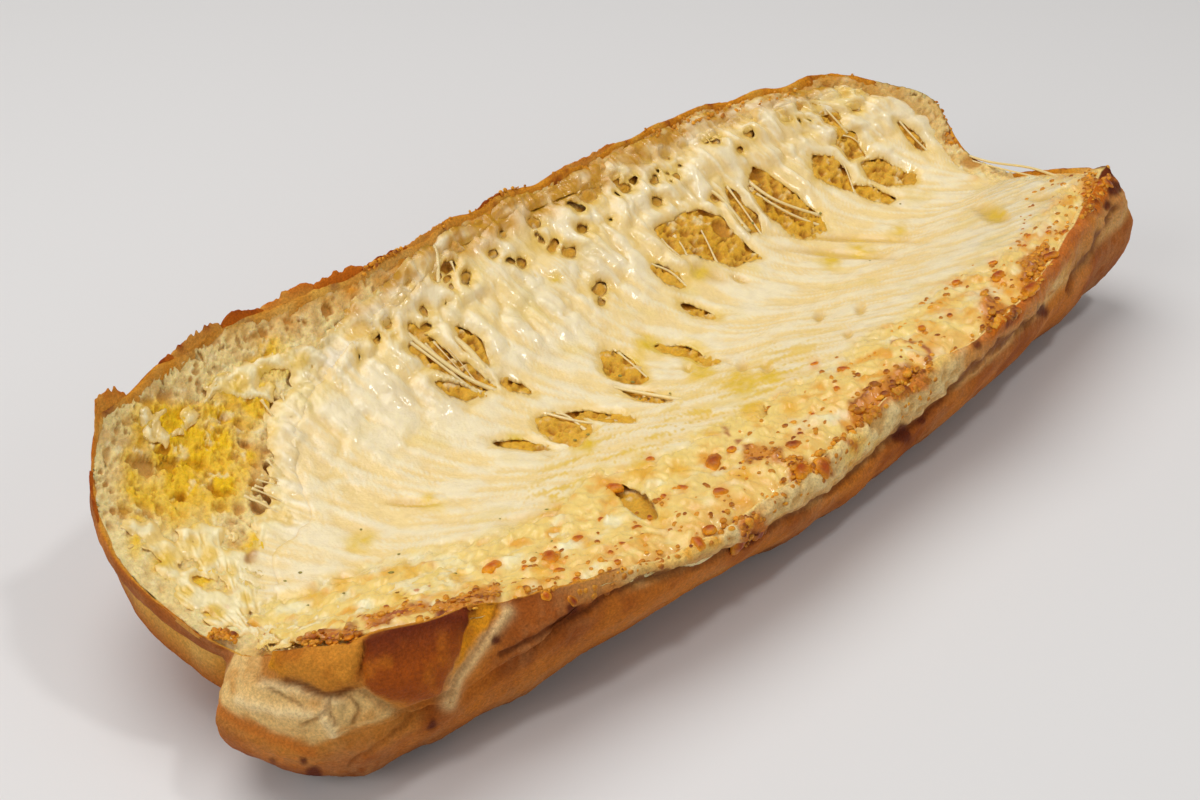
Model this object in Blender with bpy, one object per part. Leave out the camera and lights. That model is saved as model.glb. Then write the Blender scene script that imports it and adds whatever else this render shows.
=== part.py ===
"""Cheesy garlic bread: a long roll cut lengthwise, opened like a book and baked with melted cheese.

The near half lies flat on its crust and the far half leans up from the valley between them.
Two solids: the bread, crumb and crust in one, and the sheet of melted cheese that lies on it.
Lengths here are in millimetres until a mesh is made: x along the loaf, y across it, z up.
"""
import bmesh
import bpy
import numpy as np

MM = 0.001

# Driving outlines: the edge of the opened roll, read as smooth curves through these points
VALLEY = [(0, 0, 24), (60, 0, 22), (140, 0, 22), (220, -2, 24), (273, -6, 28)]
FAR_RIM = [(13, 56, 46), (34, 61, 47), (52, 63, 48), (71, 60, 48), (98, 58, 49), (114, 60, 49),
           (136, 61, 49), (156, 59, 49), (181, 58, 50), (208, 57, 50), (228, 51, 50), (253, 45, 50)]
FAR_LEFT_END = [(0, 0, 24), (-3, 9, 27), (-4, 28, 33), (2, 44, 39), (13, 56, 46)]
FAR_RIGHT_END = [(273, -6, 28), (271, 6, 31), (274, 16, 37), (275, 22, 42), (268, 30, 46), (253, 45, 50)]
NEAR_RIM = [(8, -27, 37), (20, -33, 38), (35, -38, 36), (54, -44, 33), (80, -50, 32), (109, -52, 33),
            (134, -51, 34), (159, -51, 36), (184, -54, 38), (211, -51, 40), (241, -44, 42), (266, -37, 42)]
NEAR_LEFT_END = [(0, 0, 24), (-1, -8, 28), (2, -18, 33), (8, -27, 37)]
NEAR_RIGHT_END = [(273, -6, 28), (269, -14, 33), (268, -26, 38), (266, -37, 42)]
MIDDLE = (133.2, 4.0)                 # centre of the finished outline, which becomes the origin

# The opened faces
FAR_HOLLOW = 6.5                      # how far the leaning face sags below a straight line
NEAR_HOLLOW = 1.5
RIM_RAGGED = 0.8                      # ups and downs of the torn rims
RIM_WAVE = (13, 3)                    # their length, and the seed of the lumps
RIM_SHARP = 20                        # power that keeps them to the very rim
CRUMB_SWELL = 0.45                    # soft lumps of the crumb
CRUMB_WAVE = (14, 8)
END_SHARP = 8                         # power that keeps the faces straight at the loaf's two ends

# The crust, at places round the edge: 0 to 1 near rim, to 2 right end, to 3 far rim, to 4 left end.
# Each row: place, bulge out below the rim, reach at the foot's start, how far in the foot stands
CRUST = [(0.00, 8, 2, 6), (0.05, 7, -2, 10), (0.12, 4.5, -4, 13), (0.2, 3, -10, 19), (0.3, 2.5, -17, 26),
         (0.36, 2.5, -14, 23), (0.44, 2.5, -7, 16), (0.5, 2.5, -4, 14), (0.56, 2.5, -4, 14), (0.7, 2.5, -10, 20),
         (0.8, 3, -6, 17), (0.92, 8, 0, 12), (1.0, 15, 3, 9), (1.1, 12, 1, 11), (1.25, 6, -8, 18),
         (1.5, 2, -12, 26), (1.75, 3, -10, 28), (2.0, 3.5, -10, 30), (2.3, 3, -12, 34), (2.7, 3, -12, 34),
         (2.88, 3.2, -11, 28), (3.0, 3.5, -11, 26), (3.12, 3.5, -17, 32), (3.3, 3, -28, 46), (3.48, 1, -24, 34),
         (3.53, 7, 1, 12), (3.6, 12, 2, 9), (3.8, 11, 3, 6), (4.0, 8, 2, 6)]
RIM_PULL = 1.35                       # weight of the bulge in the wall's curve
RIM_DROP = 0.66                       # height of the wall's first handle, as a share of the rim's height
CREASE = [(0, 0, 20), (56, 0, 20), (112, 0, 20), (157, 0, 23), (195, 0, 28), (211, 0, 26), (270, 0, 30)]
CREASE_SHARE = 0.42                   # where the wall's rows are split on the sides with no crease
LIP = 1.3                             # how far the crust stands out below the crease
BAND_HOLLOW = 0.9                     # the torn pale band between the near rim and the crease
BAND_START = (55, 75)                 # where along the loaf the band deepens and where it fades
BAND_STOP = (262, 235)
CREST_ROUND = 2.0                     # how far the crest rolls out over the band, and where along the loaf
CREST_START = (55, 75)
CREST_STOP = (268, 255)
NEAR_FROM = (3.5, 3.56)               # places round the edge between which the near wall's relief fades in
NEAR_TO = (1.2, 1.0)                  # and out
EAR = (2, 52)                         # the burst flap of crust at the left: its span along the near rim
EAR_SWELL = 3.0                       # how far the flap stands out over the dough below it
WALL_ROWS = [0, 0.12, 0.26, 0.4, 0.5, 0.56, 0.68, 0.8, 0.9, 1.0]

# The cheese
CHEESE_THICK = 2.0
CHEESE_EDGE = 0.9                     # thickness at its edges
EDGE_REACH = (0.05, 0.08)             # how far in the edges thin, as shares of its length and width
GAP = 0.75                            # air between cheese and crumb, so that the meshes never touch
STEP_LEFT = (-0.05, -0.01)            # the crumb's soft step down below each edge of the sheet
STEP_NEAR = (-0.09, -0.015)
STEP_FAR = (0.075, 0.012)
CHEESE_LEFT = [(-0.98, 0.035), (-0.4, 0.035), (0.0, 0.05), (0.19, 0.08), (0.3, 0.14), (0.57, 0.18),
               (0.77, 0.245), (0.87, 0.32), (0.9, 0.33)]
CHEESE_RIGHT = 0.985
CHEESE_NEAR = [(0.0, -0.84), (0.13, -0.84), (0.2, -0.985), (1.0, -0.985)]
CHEESE_FAR = [(0.0, 0.9), (0.7, 0.9), (0.82, 0.88), (0.93, 0.84), (1.0, 0.76)]
FOLD = (214, 44, 20, 5, 3.0)          # draped fold: x, y, half length, half width, height
PIT_DEPTH = 4.5                       # crumb hollow under each hole in the cheese
PIT_MARGIN = (2.0, 2.5)               # how much longer and wider than its hole
PIT_SLOPE = (0.35, 1.15)              # share of its size at the floor's edge and at the brim
# Holes torn in the cheese: x, y, half length, half width, turn in degrees
HOLES = [(182, 28, 11.0, 5.2, -63), (196, 31, 7.5, 2.2, -95), (214, 29, 10.6, 3.3, -70),
         (208, 24, 10.4, 4.2, -65), (230, 26, 6.9, 3.9, -86), (238, 18, 8.0, 2.5, -76),
         (246, 17, 6.0, 2.6, -68), (243, 29, 4.6, 3.2, -86), (86, 38, 5.7, 2.2, -71),
         (93, 32, 8.2, 2.4, -73), (101, 35, 5.6, 1.8, -82), (86, 28, 6.0, 2.2, -48),
         (98, 6, 7.7, 4.6, -88), (125, 11, 7.0, 4.9, -84), (83, -29, 9.0, 3.1, -112)]
HOLE_SIDES = 14
HOLE_POINTED = 0.35                   # how far the long ends of a hole are drawn to points
CUTTER_HEIGHTS = (35, 30)             # middle and half length of the upright cutters

# Facets
FACE_CELLS = (64, 26)                 # along the loaf, and across both halves
CHEESE_CELLS = (50, 20)
WELD = 0.02

# Finishes: colour and roughness
BREAD_FINISH = (0.62, 0.36, 0.13), 0.75
CHEESE_FINISH = (0.86, 0.75, 0.48), 0.35


def spline(points, t):
    """Smooth curve through the points, t from 0 to 1: cubic pieces with central differences as slopes."""
    p = np.asarray(points, float)
    knot = np.r_[0, np.cumsum(np.linalg.norm(np.diff(p, axis=0), axis=1) ** 0.5)]
    knot /= knot[-1]
    slope = np.empty_like(p)
    slope[1:-1] = (p[2:] - p[:-2]) / (knot[2:] - knot[:-2])[:, None]
    slope[0] = (p[1] - p[0]) / (knot[1] - knot[0])
    slope[-1] = (p[-1] - p[-2]) / (knot[-1] - knot[-2])
    t = np.asarray(t, float)
    k = np.clip(np.searchsorted(knot, t, side="right") - 1, 0, len(p) - 2)
    width = (knot[k + 1] - knot[k])[..., None]
    x = ((t - knot[k]) / (knot[k + 1] - knot[k]))[..., None]
    start = (1 + 2 * x) * (1 - x) ** 2 * p[k] + x * (1 - x) ** 2 * width * slope[k]
    end = x * x * (3 - 2 * x) * p[k + 1] + x * x * (x - 1) * width * slope[k + 1]
    return start + end


def along(points, t):
    """Point at the share t of the curve's length."""
    q = spline(points, np.linspace(0, 1, 2001))
    length = np.r_[0, np.cumsum(np.linalg.norm(np.diff(q, axis=0), axis=1))]
    length /= length[-1]
    return np.stack([np.interp(t, length, q[:, i]) for i in range(3)], -1)


def ease(low, high, x):
    """0 below low, 1 above high, with a smooth step between."""
    s = np.clip((x - low) / (high - low), 0, 1)
    return s * s * (3 - 2 * s)


def swell(x, y, length, seed):
    """Soft lumps about length long, from -1 to 1: six plane waves with seeded directions added up."""
    rng = np.random.default_rng(seed)
    total = np.zeros(np.broadcast(x, y).shape)
    for _ in range(6):
        turn, phase = rng.uniform(0, 2 * np.pi, 2)
        wave = length * rng.uniform(0.8, 1.6)
        total += np.sin(2 * np.pi * (np.cos(turn) * x + np.sin(turn) * y) / wave + phase)
    return total / 3.5


def patch(rim, left, right, a, v):
    """Coons patch from the valley to a rim: the two pairs of sides blended, less the four corners."""
    side_v, side_a = v[..., None], a[..., None]
    across = (1 - side_v) * along(VALLEY, a) + side_v * along(rim, a)
    ends = (1 - side_a) * along(left, v) + side_a * along(right, v)
    corners = ((1 - side_a) * ((1 - side_v) * np.array(VALLEY[0]) + side_v * np.array(rim[0]))
               + side_a * ((1 - side_v) * np.array(VALLEY[-1]) + side_v * np.array(rim[-1])))
    return across + ends - corners


def opened_face(a, v):
    """The smooth opened face: a is 0 to 1 along the loaf, v is -1 at the near rim and 1 at the far rim."""
    a, v = np.asarray(a, float), np.asarray(v, float)
    far = patch(FAR_RIM, FAR_LEFT_END, FAR_RIGHT_END, a, np.clip(v, 0, 1))
    near = patch(NEAR_RIM, NEAR_LEFT_END, NEAR_RIGHT_END, a, np.clip(-v, 0, 1))
    p = np.where((v >= 0)[..., None], far, near)
    away_from_ends = 1 - (2 * a - 1) ** END_SHARP
    hollow = np.where(v >= 0, FAR_HOLLOW, NEAR_HOLLOW)
    p[..., 2] -= hollow * 4 * np.abs(v) * (1 - np.abs(v)) * away_from_ends
    p[..., 2] += RIM_RAGGED * swell(p[..., 0], p[..., 1], *RIM_WAVE) * np.abs(v) ** RIM_SHARP
    p[..., 2] += fold_height(p[..., 0], p[..., 1])
    return p


def fold_height(x, y):
    """The draped fold of the cheese: a smooth long bump."""
    fx, fy, length, width, height = FOLD
    return height * np.exp(-((x - fx) / length) ** 2 - ((y - fy) / width) ** 2)


def cheese_left(v):
    """Where along the loaf the cheese starts, for each place across it."""
    edge = np.array(CHEESE_LEFT)
    return np.interp(v, edge[:, 0], edge[:, 1])


def cheese_sides(u):
    """The near and far edges of the cheese, as places across the face."""
    near, far = np.array(CHEESE_NEAR), np.array(CHEESE_FAR)
    return np.interp(u, near[:, 0], near[:, 1]), np.interp(u, far[:, 0], far[:, 1])


def sink(a, v):
    """How far the crumb lies under the cheese's top: none off the cheese, with a soft step at its edges."""
    u = (a - cheese_left(v)) / (CHEESE_RIGHT - cheese_left(v))
    near, far = cheese_sides(np.clip(u, 0, 1))
    w = (v - near) / (far - near)
    over_near = ease(near + STEP_NEAR[0], near + STEP_NEAR[1], v)
    over_far = ease(far + STEP_FAR[0], far + STEP_FAR[1], v)
    covered = ease(*STEP_LEFT, u) * over_near * over_far
    return covered * (cheese_thickness(np.clip(u, 0, 1), np.clip(w, 0, 1)) + GAP), covered


def pit(x, y):
    """Depth of the crumb's hollows, 0 to 1: a smooth bowl a little wider than each hole."""
    depth = np.zeros(np.shape(x))
    for cx, cy, length, width, turn in HOLES:
        t = np.radians(turn)
        lx = (np.cos(t) * (x - cx) + np.sin(t) * (y - cy)) / (length + PIT_MARGIN[0])
        ly = (np.cos(t) * (y - cy) - np.sin(t) * (x - cx)) / (width + PIT_MARGIN[1])
        depth = np.maximum(depth, 1 - ease(*PIT_SLOPE, np.hypot(lx, ly)))
    return depth


def crumb_face(a, v):
    """The bread's opened face: sunk under the cheese and hollowed below its holes."""
    p = opened_face(a, v)
    x, y = p[..., 0].copy(), p[..., 1].copy()
    sunk, covered = sink(a, v)
    inside = (1 - np.abs(2 * a - 1) ** 12) * (1 - np.abs(v) ** 12)
    p[..., 2] -= sunk + covered * PIT_DEPTH * pit(x, y)
    p[..., 2] += CRUMB_SWELL * swell(x, y, *CRUMB_WAVE) * inside * (1 - covered) ** 2
    return p


def cheese_thickness(u, w):
    """Full inside the sheet, thinner towards its four edges."""
    from_edge = np.minimum(np.minimum(u, 1 - u) / EDGE_REACH[0], np.minimum(w, 1 - w) / EDGE_REACH[1])
    return CHEESE_EDGE + (CHEESE_THICK - CHEESE_EDGE) * ease(0, 1, from_edge)


def across_face(t):
    """Places across the face for even steps of t from 0 to 1, closer together towards both rims."""
    s = 2 * t - 1
    return 1.25 * s - 0.25 * s ** 3


def edge_places(cells_along, cells_across):
    """Once round the edge of the opened face: a and v of each point, and its place from 0 to 4."""
    s, t = np.arange(cells_along) / cells_along, np.arange(cells_across) / cells_across
    one_s, one_t = np.ones(cells_along), np.ones(cells_across)
    a = np.r_[s, one_t, 1 - s, 0 * one_t]
    v = np.r_[-one_s, across_face(t), one_s, -across_face(t)]
    return a, v, np.r_[s, 1 + t, 2 + s, 3 + t]


def outward(p):
    """Level direction pointing out of the loaf at each point of a closed loop, smoothed along it."""
    tangent = np.roll(p, -3, 0) - np.roll(p, 3, 0)
    normal = np.stack([tangent[:, 1], -tangent[:, 0]], -1)
    normal /= np.linalg.norm(normal, axis=1)[:, None]
    for _ in range(6):
        normal = (np.roll(normal, 1, 0) + 2 * normal + np.roll(normal, -1, 0)) / 4
    return normal / np.linalg.norm(normal, axis=1)[:, None]


def crust_sizes(place):
    """Bulge, reach and foot at each place, eased between the rows of CRUST."""
    rows = np.array(CRUST, float)
    k = np.clip(np.searchsorted(rows[:, 0], place, side="right") - 1, 0, len(rows) - 2)
    x = ease(rows[k, 0], rows[k + 1, 0], place)[:, None]
    return (rows[k, 1:] * (1 - x) + rows[k + 1, 1:] * x).T


def wall_curve(height, bulge, reach, foot, h):
    """Cubic curve from the rim down to the foot: distance out and height, at h from 0 to 1."""
    out = 3 * h * (1 - h) ** 2 * RIM_PULL * bulge + 3 * h * h * (1 - h) * reach - h ** 3 * foot
    up = height * ((1 - h) ** 3 + RIM_DROP * 3 * h * (1 - h) ** 2)
    return out, up


def wall_relief(x, row):
    """Folds of the near wall: the band above the crease, the lip below it, and the burst ear."""
    ear = ease(EAR[0] - 4, EAR[0] + 6, x) * ease(EAR[1] + 3, EAR[1] - 5, x)
    facets = 0.75 - 0.25 * np.cos(2 * np.pi * (x - EAR[0]) / (0.5 * (EAR[1] - EAR[0])))
    flap = EAR_SWELL * facets * ease(0, 0.3, row) * ease(0.5, 0.42, row)
    band_reach = ease(*BAND_START, x) * ease(*BAND_STOP, x)
    band = -BAND_HOLLOW * np.sin(np.pi * np.clip(row / 0.5, 0, 1)) * band_reach
    over = np.sqrt(1 - (1 - np.clip(row / 0.16, 0, 1)) ** 2) * ease(0.5, 0.2, row)
    band = band + CREST_ROUND * over * ease(*CREST_START, x) * ease(*CREST_STOP, x)
    lip = LIP * ease(0.5, 0.56, row) * ease(0.95, 0.6, row)
    return ear * flap + band + lip


def crust_wall(cells_along, cells_across, rows):
    """Grid of the outer crust: points round the edge by rows from the rim down to the foot."""
    a, v, place = edge_places(cells_along, cells_across)
    rim = crumb_face(a, v)
    normal = outward(rim)
    bulge, reach, foot = (size[:, None] for size in crust_sizes(place))
    rim_height = rim[:, 2][:, None]
    dense = np.linspace(0, 1, 101)[None, :]
    heights = wall_curve(rim_height, bulge, reach, foot, dense)[1]
    crease = np.array(CREASE, float)
    crease_height = np.interp(rim[:, 0], crease[:, 0], crease[:, 2])
    split = np.array([np.interp(-c, -z, dense[0]) for c, z in zip(crease_height, heights)])
    near = ease(*NEAR_FROM, place) + ease(*NEAR_TO, place)
    near_weight = np.clip(near, 0, 1)
    split = (CREASE_SHARE + near_weight * (split - CREASE_SHARE))[:, None]
    g = np.asarray(rows, float)[None, :]
    h = np.where(g < 0.5, split * g / 0.5, split + (1 - split) * (g - 0.5) / 0.5)
    out, up = wall_curve(rim_height, bulge, reach, foot, h)
    out = out + near_weight[:, None] * wall_relief(rim[:, 0][:, None], g)
    x = rim[:, 0][:, None] + normal[:, 0][:, None] * out
    y = rim[:, 1][:, None] + normal[:, 1][:, None] * out
    return np.stack([x, y, up], -1)


def placed(p):
    """Millimetres in the loaf's own frame to metres about the middle of its base."""
    return (p - np.array([MIDDLE[0], MIDDLE[1], 0])) * MM


def grid_uv(verts):
    """Share of each vertex along the two sides of a fresh unit grid, from 0 to 1."""
    flat = np.array([vert.co[:2] for vert in verts])
    return (flat[:, 0] + 1) / 2, (flat[:, 1] + 1) / 2


def move_to(verts, points):
    for vert, point in zip(verts, points):
        vert.co = point


def material(name, colour, roughness):
    mat = bpy.data.materials.new(name)
    mat.use_nodes = True
    shader = mat.node_tree.nodes["Principled BSDF"]
    shader.inputs["Base Color"].default_value = (*colour, 1)
    shader.inputs["Roughness"].default_value = roughness
    shader.inputs["Metallic"].default_value = 0
    return mat


def new_object(bm, name, collection, mat=None):
    mesh = bpy.data.meshes.new(name)
    bm.to_mesh(mesh)
    bm.free()
    obj = bpy.data.objects.new(name, mesh)
    collection.objects.link(obj)
    if mat:
        mesh.materials.append(mat)
        mesh.shade_smooth()
    return obj


def make_bread(collection):
    """The opened face and the crust wall are two grids, welded along the rim and closed by a flat foot."""
    bm = bmesh.new()
    face = bmesh.ops.create_grid(bm, x_segments=FACE_CELLS[0], y_segments=FACE_CELLS[1], size=1)["verts"]
    u, w = grid_uv(face)
    move_to(face, placed(crumb_face(u, across_face(w))))

    count = 2 * sum(FACE_CELLS)
    rows = len(WALL_ROWS)
    wall = bmesh.ops.create_grid(bm, x_segments=count, y_segments=rows - 1, size=1)["verts"]
    u, w = grid_uv(wall)
    points = placed(crust_wall(*FACE_CELLS, WALL_ROWS))
    place = np.rint(u * count).astype(int) % count
    row = np.rint(w * (rows - 1)).astype(int)
    move_to(wall, points[place, row])

    bmesh.ops.remove_doubles(bm, verts=bm.verts, dist=WELD * MM)
    open_edges = [edge for edge in bm.edges if edge.is_boundary]
    bmesh.ops.contextual_create(bm, geom=open_edges)
    bmesh.ops.recalc_face_normals(bm, faces=bm.faces)
    bmesh.ops.triangulate(bm, faces=bm.faces, quad_method="FIXED", ngon_method="EAR_CLIP")
    return new_object(bm, "bread", collection, material("baked_bread", *BREAD_FINISH))


def make_cheese(collection):
    """A thin sheet that follows the opened face, with its underside let down by its thickness."""
    bm = bmesh.new()
    top = bmesh.ops.create_grid(bm, x_segments=CHEESE_CELLS[0], y_segments=CHEESE_CELLS[1], size=1)["verts"]
    u, w = grid_uv(top)
    near, far = cheese_sides(u)
    v = near + w * (far - near)
    a = cheese_left(v) + u * (CHEESE_RIGHT - cheese_left(v))
    surface = opened_face(a, v)
    move_to(top, placed(surface))
    lowered = surface.copy()
    lowered[:, 2] -= cheese_thickness(u, w)
    under = {tuple(np.round(vert.co, 7)): point for vert, point in zip(top, placed(lowered))}

    extruded = bmesh.ops.extrude_face_region(bm, geom=bm.faces[:], use_keep_orig=True)["geom"]
    for vert in (part for part in extruded if isinstance(part, bmesh.types.BMVert)):
        vert.co = under[tuple(np.round(vert.co, 7))]
    bmesh.ops.recalc_face_normals(bm, faces=bm.faces)
    bmesh.ops.triangulate(bm, faces=bm.faces, quad_method="FIXED")
    return new_object(bm, "cheese", collection, material("melted_cheese", *CHEESE_FINISH))


def make_hole_cutter(number, hole, collection):
    """An upright prism on a lens-shaped outline: an ellipse with its long ends drawn to points."""
    cx, cy, length, width, turn = hole
    middle, half = CUTTER_HEIGHTS
    bm = bmesh.new()
    made = bmesh.ops.create_cone(bm, cap_ends=True, segments=HOLE_SIDES, radius1=1, radius2=1, depth=2)
    t = np.radians(turn)
    for vert in made["verts"]:
        lx, ly = vert.co.x, vert.co.y
        lens = ly * abs(ly) ** HOLE_POINTED
        x = cx + np.cos(t) * lx * length - np.sin(t) * lens * width
        y = cy + np.sin(t) * lx * length + np.cos(t) * lens * width
        vert.co = placed(np.array([x, y, middle + half * vert.co.z]))
    cutter = new_object(bm, f"hole_{number}", collection)
    cutter.hide_render = True
    cutter.display_type = "WIRE"
    return cutter


def main():
    for obj in list(bpy.data.objects):
        bpy.data.objects.remove(obj)
    parts = bpy.data.collections.new("cheesy_garlic_bread")
    cutters = bpy.data.collections.new("cutters")
    bpy.context.scene.collection.children.link(parts)
    bpy.context.scene.collection.children.link(cutters)

    make_bread(parts)
    cheese = make_cheese(parts)
    for number, hole in enumerate(HOLES):
        make_hole_cutter(number, hole, cutters)
    tear = cheese.modifiers.new("torn_holes", "BOOLEAN")
    tear.operation = "DIFFERENCE"
    tear.operand_type = "COLLECTION"
    tear.collection = cutters


main()
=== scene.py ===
# %% [markdown]
# # Cheesy garlic bread
# A long soft roll is cut lengthwise and opened like a book. Its crumb is buttered, covered with shredded
# cheese and baked. The near half lies flat, the far half leans up, and a sheet of melted cheese hangs between
# them, torn into long holes. This file is a lesson in cells: each step says what a thing is on the real bread,
# how it could be made, and why one way was chosen. Every surface is worked out with numpy as whole arrays.

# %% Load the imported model
import itertools
import bpy
import numpy as np
from mathutils import Matrix, Vector


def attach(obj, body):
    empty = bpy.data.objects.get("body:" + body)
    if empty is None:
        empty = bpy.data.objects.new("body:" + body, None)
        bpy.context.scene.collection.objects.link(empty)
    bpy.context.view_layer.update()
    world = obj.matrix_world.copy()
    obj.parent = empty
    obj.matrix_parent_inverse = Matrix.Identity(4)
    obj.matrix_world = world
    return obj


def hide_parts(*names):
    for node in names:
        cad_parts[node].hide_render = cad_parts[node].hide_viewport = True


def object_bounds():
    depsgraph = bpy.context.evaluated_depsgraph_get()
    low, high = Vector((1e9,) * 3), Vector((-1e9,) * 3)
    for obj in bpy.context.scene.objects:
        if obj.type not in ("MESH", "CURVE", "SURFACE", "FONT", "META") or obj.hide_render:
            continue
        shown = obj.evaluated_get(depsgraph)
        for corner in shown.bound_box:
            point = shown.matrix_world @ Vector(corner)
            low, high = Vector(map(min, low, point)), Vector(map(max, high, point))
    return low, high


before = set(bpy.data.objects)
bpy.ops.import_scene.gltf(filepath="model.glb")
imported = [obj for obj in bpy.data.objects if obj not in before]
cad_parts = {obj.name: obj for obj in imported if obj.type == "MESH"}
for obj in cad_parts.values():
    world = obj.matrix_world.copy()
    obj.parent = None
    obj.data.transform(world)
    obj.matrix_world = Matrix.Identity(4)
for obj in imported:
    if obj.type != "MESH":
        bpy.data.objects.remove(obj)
cad_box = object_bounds()
print("CAD box in metres:", [list(corner) for corner in cad_box])

# %% [markdown]
# ## The bread's form
# The real roll has no straight line on it. Its opened face could be sculpted, or lofted between a few curves.
# Curves are easier to steer: a valley, two rims and four ends are drawn through measured points, and a Coons
# patch fills each half. Lengths are in millimetres here: x along the loaf, y across it, z up.

# %% Outlines of the opened roll
MM = 0.001
MIDDLE = (133.2, 4.0)
VALLEY = [(0, 0, 24), (60, 0, 22), (140, 0, 22), (220, -2, 24), (273, -6, 28)]
FAR_RIM = [(13, 56, 46), (34, 61, 47), (52, 63, 48), (71, 60, 48), (98, 58, 49), (114, 60, 49),
           (136, 61, 49), (156, 59, 49), (181, 58, 50), (208, 57, 50), (228, 51, 50), (253, 45, 50)]
FAR_LEFT_END = [(0, 0, 24), (-3, 9, 27), (-4, 28, 33), (2, 44, 39), (13, 56, 46)]
FAR_RIGHT_END = [(273, -6, 28), (271, 6, 31), (274, 16, 37), (275, 22, 42), (268, 30, 46), (253, 45, 50)]
NEAR_RIM = [(8, -27, 37), (20, -33, 38), (35, -38, 36), (54, -44, 33), (80, -50, 32), (109, -52, 33),
            (134, -51, 34), (159, -51, 36), (184, -54, 38), (211, -51, 40), (241, -44, 42), (266, -37, 42)]
NEAR_LEFT_END = [(0, 0, 24), (-1, -8, 28), (2, -18, 33), (8, -27, 37)]
NEAR_RIGHT_END = [(273, -6, 28), (269, -14, 33), (268, -26, 38), (266, -37, 42)]
# how far the face of each half sinks between the valley and its rim, and how uneven the rims are
FAR_HOLLOW = 6.5
NEAR_HOLLOW = 1.5
RIM_RAGGED = 0.8
# a soft fold at the right of the far half: its place, length, width and height
FOLD = (214, 44, 20, 5, 3.0)
print("valley:", VALLEY[-1][0] - VALLEY[0][0], "mm; rims through", len(FAR_RIM), "and", len(NEAR_RIM), "points")


# %% Curves through points
def spline(points, t):
    """Smooth curve through the points: cubic pieces whose slopes are central differences."""
    p = np.asarray(points, float)
    knot = np.r_[0, np.cumsum(np.linalg.norm(np.diff(p, axis=0), axis=1) ** 0.5)]
    knot /= knot[-1]
    slope = np.empty_like(p)
    slope[1:-1] = (p[2:] - p[:-2]) / (knot[2:] - knot[:-2])[:, None]
    slope[0] = (p[1] - p[0]) / (knot[1] - knot[0])
    slope[-1] = (p[-1] - p[-2]) / (knot[-1] - knot[-2])
    t = np.asarray(t, float)
    k = np.clip(np.searchsorted(knot, t, side="right") - 1, 0, len(p) - 2)
    width = (knot[k + 1] - knot[k])[..., None]
    x = ((t - knot[k]) / (knot[k + 1] - knot[k]))[..., None]
    start = (1 + 2 * x) * (1 - x) ** 2 * p[k] + x * (1 - x) ** 2 * width * slope[k]
    end = x * x * (3 - 2 * x) * p[k + 1] + x * x * (x - 1) * width * slope[k + 1]
    return start + end


def between(x, places, table):
    """Rows of a table at in-between places: each column is interpolated in straight pieces."""
    return np.stack([np.interp(x, places, column) for column in np.asarray(table).T], -1)


def along(points, t):
    """Point at the share t of the curve's length: the length is added up over 2000 short steps."""
    q = spline(points, np.linspace(0, 1, 2001))
    length = np.r_[0, np.cumsum(np.linalg.norm(np.diff(q, axis=0), axis=1))]
    return between(t, length / length[-1], q)


def ease(low, high, x):
    """0 below low, 1 above high, and 3s^2 - 2s^3 between, where s is the share of the way."""
    s = np.clip((x - low) / (high - low), 0, 1)
    return s * s * (3 - 2 * s)


def swell(x, y, length, seed):
    """Soft lumps about length long: six plane waves with seeded directions added up."""
    rng = np.random.default_rng(seed)
    total = np.zeros(np.broadcast(x, y).shape)
    for _ in range(6):
        turn, phase = rng.uniform(0, 2 * np.pi, 2)
        wave = length * rng.uniform(0.8, 1.6)
        total += np.sin(2 * np.pi * (np.cos(turn) * x + np.sin(turn) * y) / wave + phase)
    return total / 3.5


print("half way along the valley:", along(VALLEY, 0.5).round(1))


# %% The opened face
def patch(rim, left, right, a, v):
    """Coons patch: the blend of two opposite sides, plus that of the other two, less that of the corners."""
    side_v, side_a = v[..., None], a[..., None]
    across = (1 - side_v) * along(VALLEY, a) + side_v * along(rim, a)
    ends = (1 - side_a) * along(left, v) + side_a * along(right, v)
    corners = ((1 - side_a) * ((1 - side_v) * np.array(VALLEY[0]) + side_v * np.array(rim[0]))
               + side_a * ((1 - side_v) * np.array(VALLEY[-1]) + side_v * np.array(rim[-1])))
    return across + ends - corners


def opened_face(a, v):
    """The smooth face: a runs 0 to 1 along the loaf, v from -1 at the near rim to 1 at the far rim."""
    a, v = np.asarray(a, float), np.asarray(v, float)
    far = patch(FAR_RIM, FAR_LEFT_END, FAR_RIGHT_END, a, np.clip(v, 0, 1))
    near = patch(NEAR_RIM, NEAR_LEFT_END, NEAR_RIGHT_END, a, np.clip(-v, 0, 1))
    p = np.where((v >= 0)[..., None], far, near)
    hollow = np.where(v >= 0, FAR_HOLLOW, NEAR_HOLLOW)
    p[..., 2] -= hollow * 4 * np.abs(v) * (1 - np.abs(v)) * (1 - (2 * a - 1) ** 8)
    p[..., 2] += RIM_RAGGED * swell(p[..., 0], p[..., 1], 13, 3) * np.abs(v) ** 20
    fx, fy, length, width, height = FOLD
    p[..., 2] += height * np.exp(-((p[..., 0] - fx) / length) ** 2 - ((p[..., 1] - fy) / width) ** 2)
    return p


def face_normal(a, v):
    """Unit normal of the face: the cross product of a small step along it and a small step across it."""
    step = 0.004
    low_a, high_a = np.clip(a - step, 0, 1), np.clip(a + step, 0, 1)
    low_v, high_v = np.clip(v - step, -1, 1), np.clip(v + step, -1, 1)
    n = np.cross(opened_face(high_a, v) - opened_face(low_a, v), opened_face(a, high_v) - opened_face(a, low_v))
    return n / np.linalg.norm(n, axis=-1, keepdims=True)


def face_grid(left, right, columns, near, far, rows):
    """a and v of a grid on the face, evenly spaced between two ends of the loaf and two lines along it."""
    return np.meshgrid(np.linspace(left, right, columns), np.linspace(near, far, rows), indexing="ij")


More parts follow.
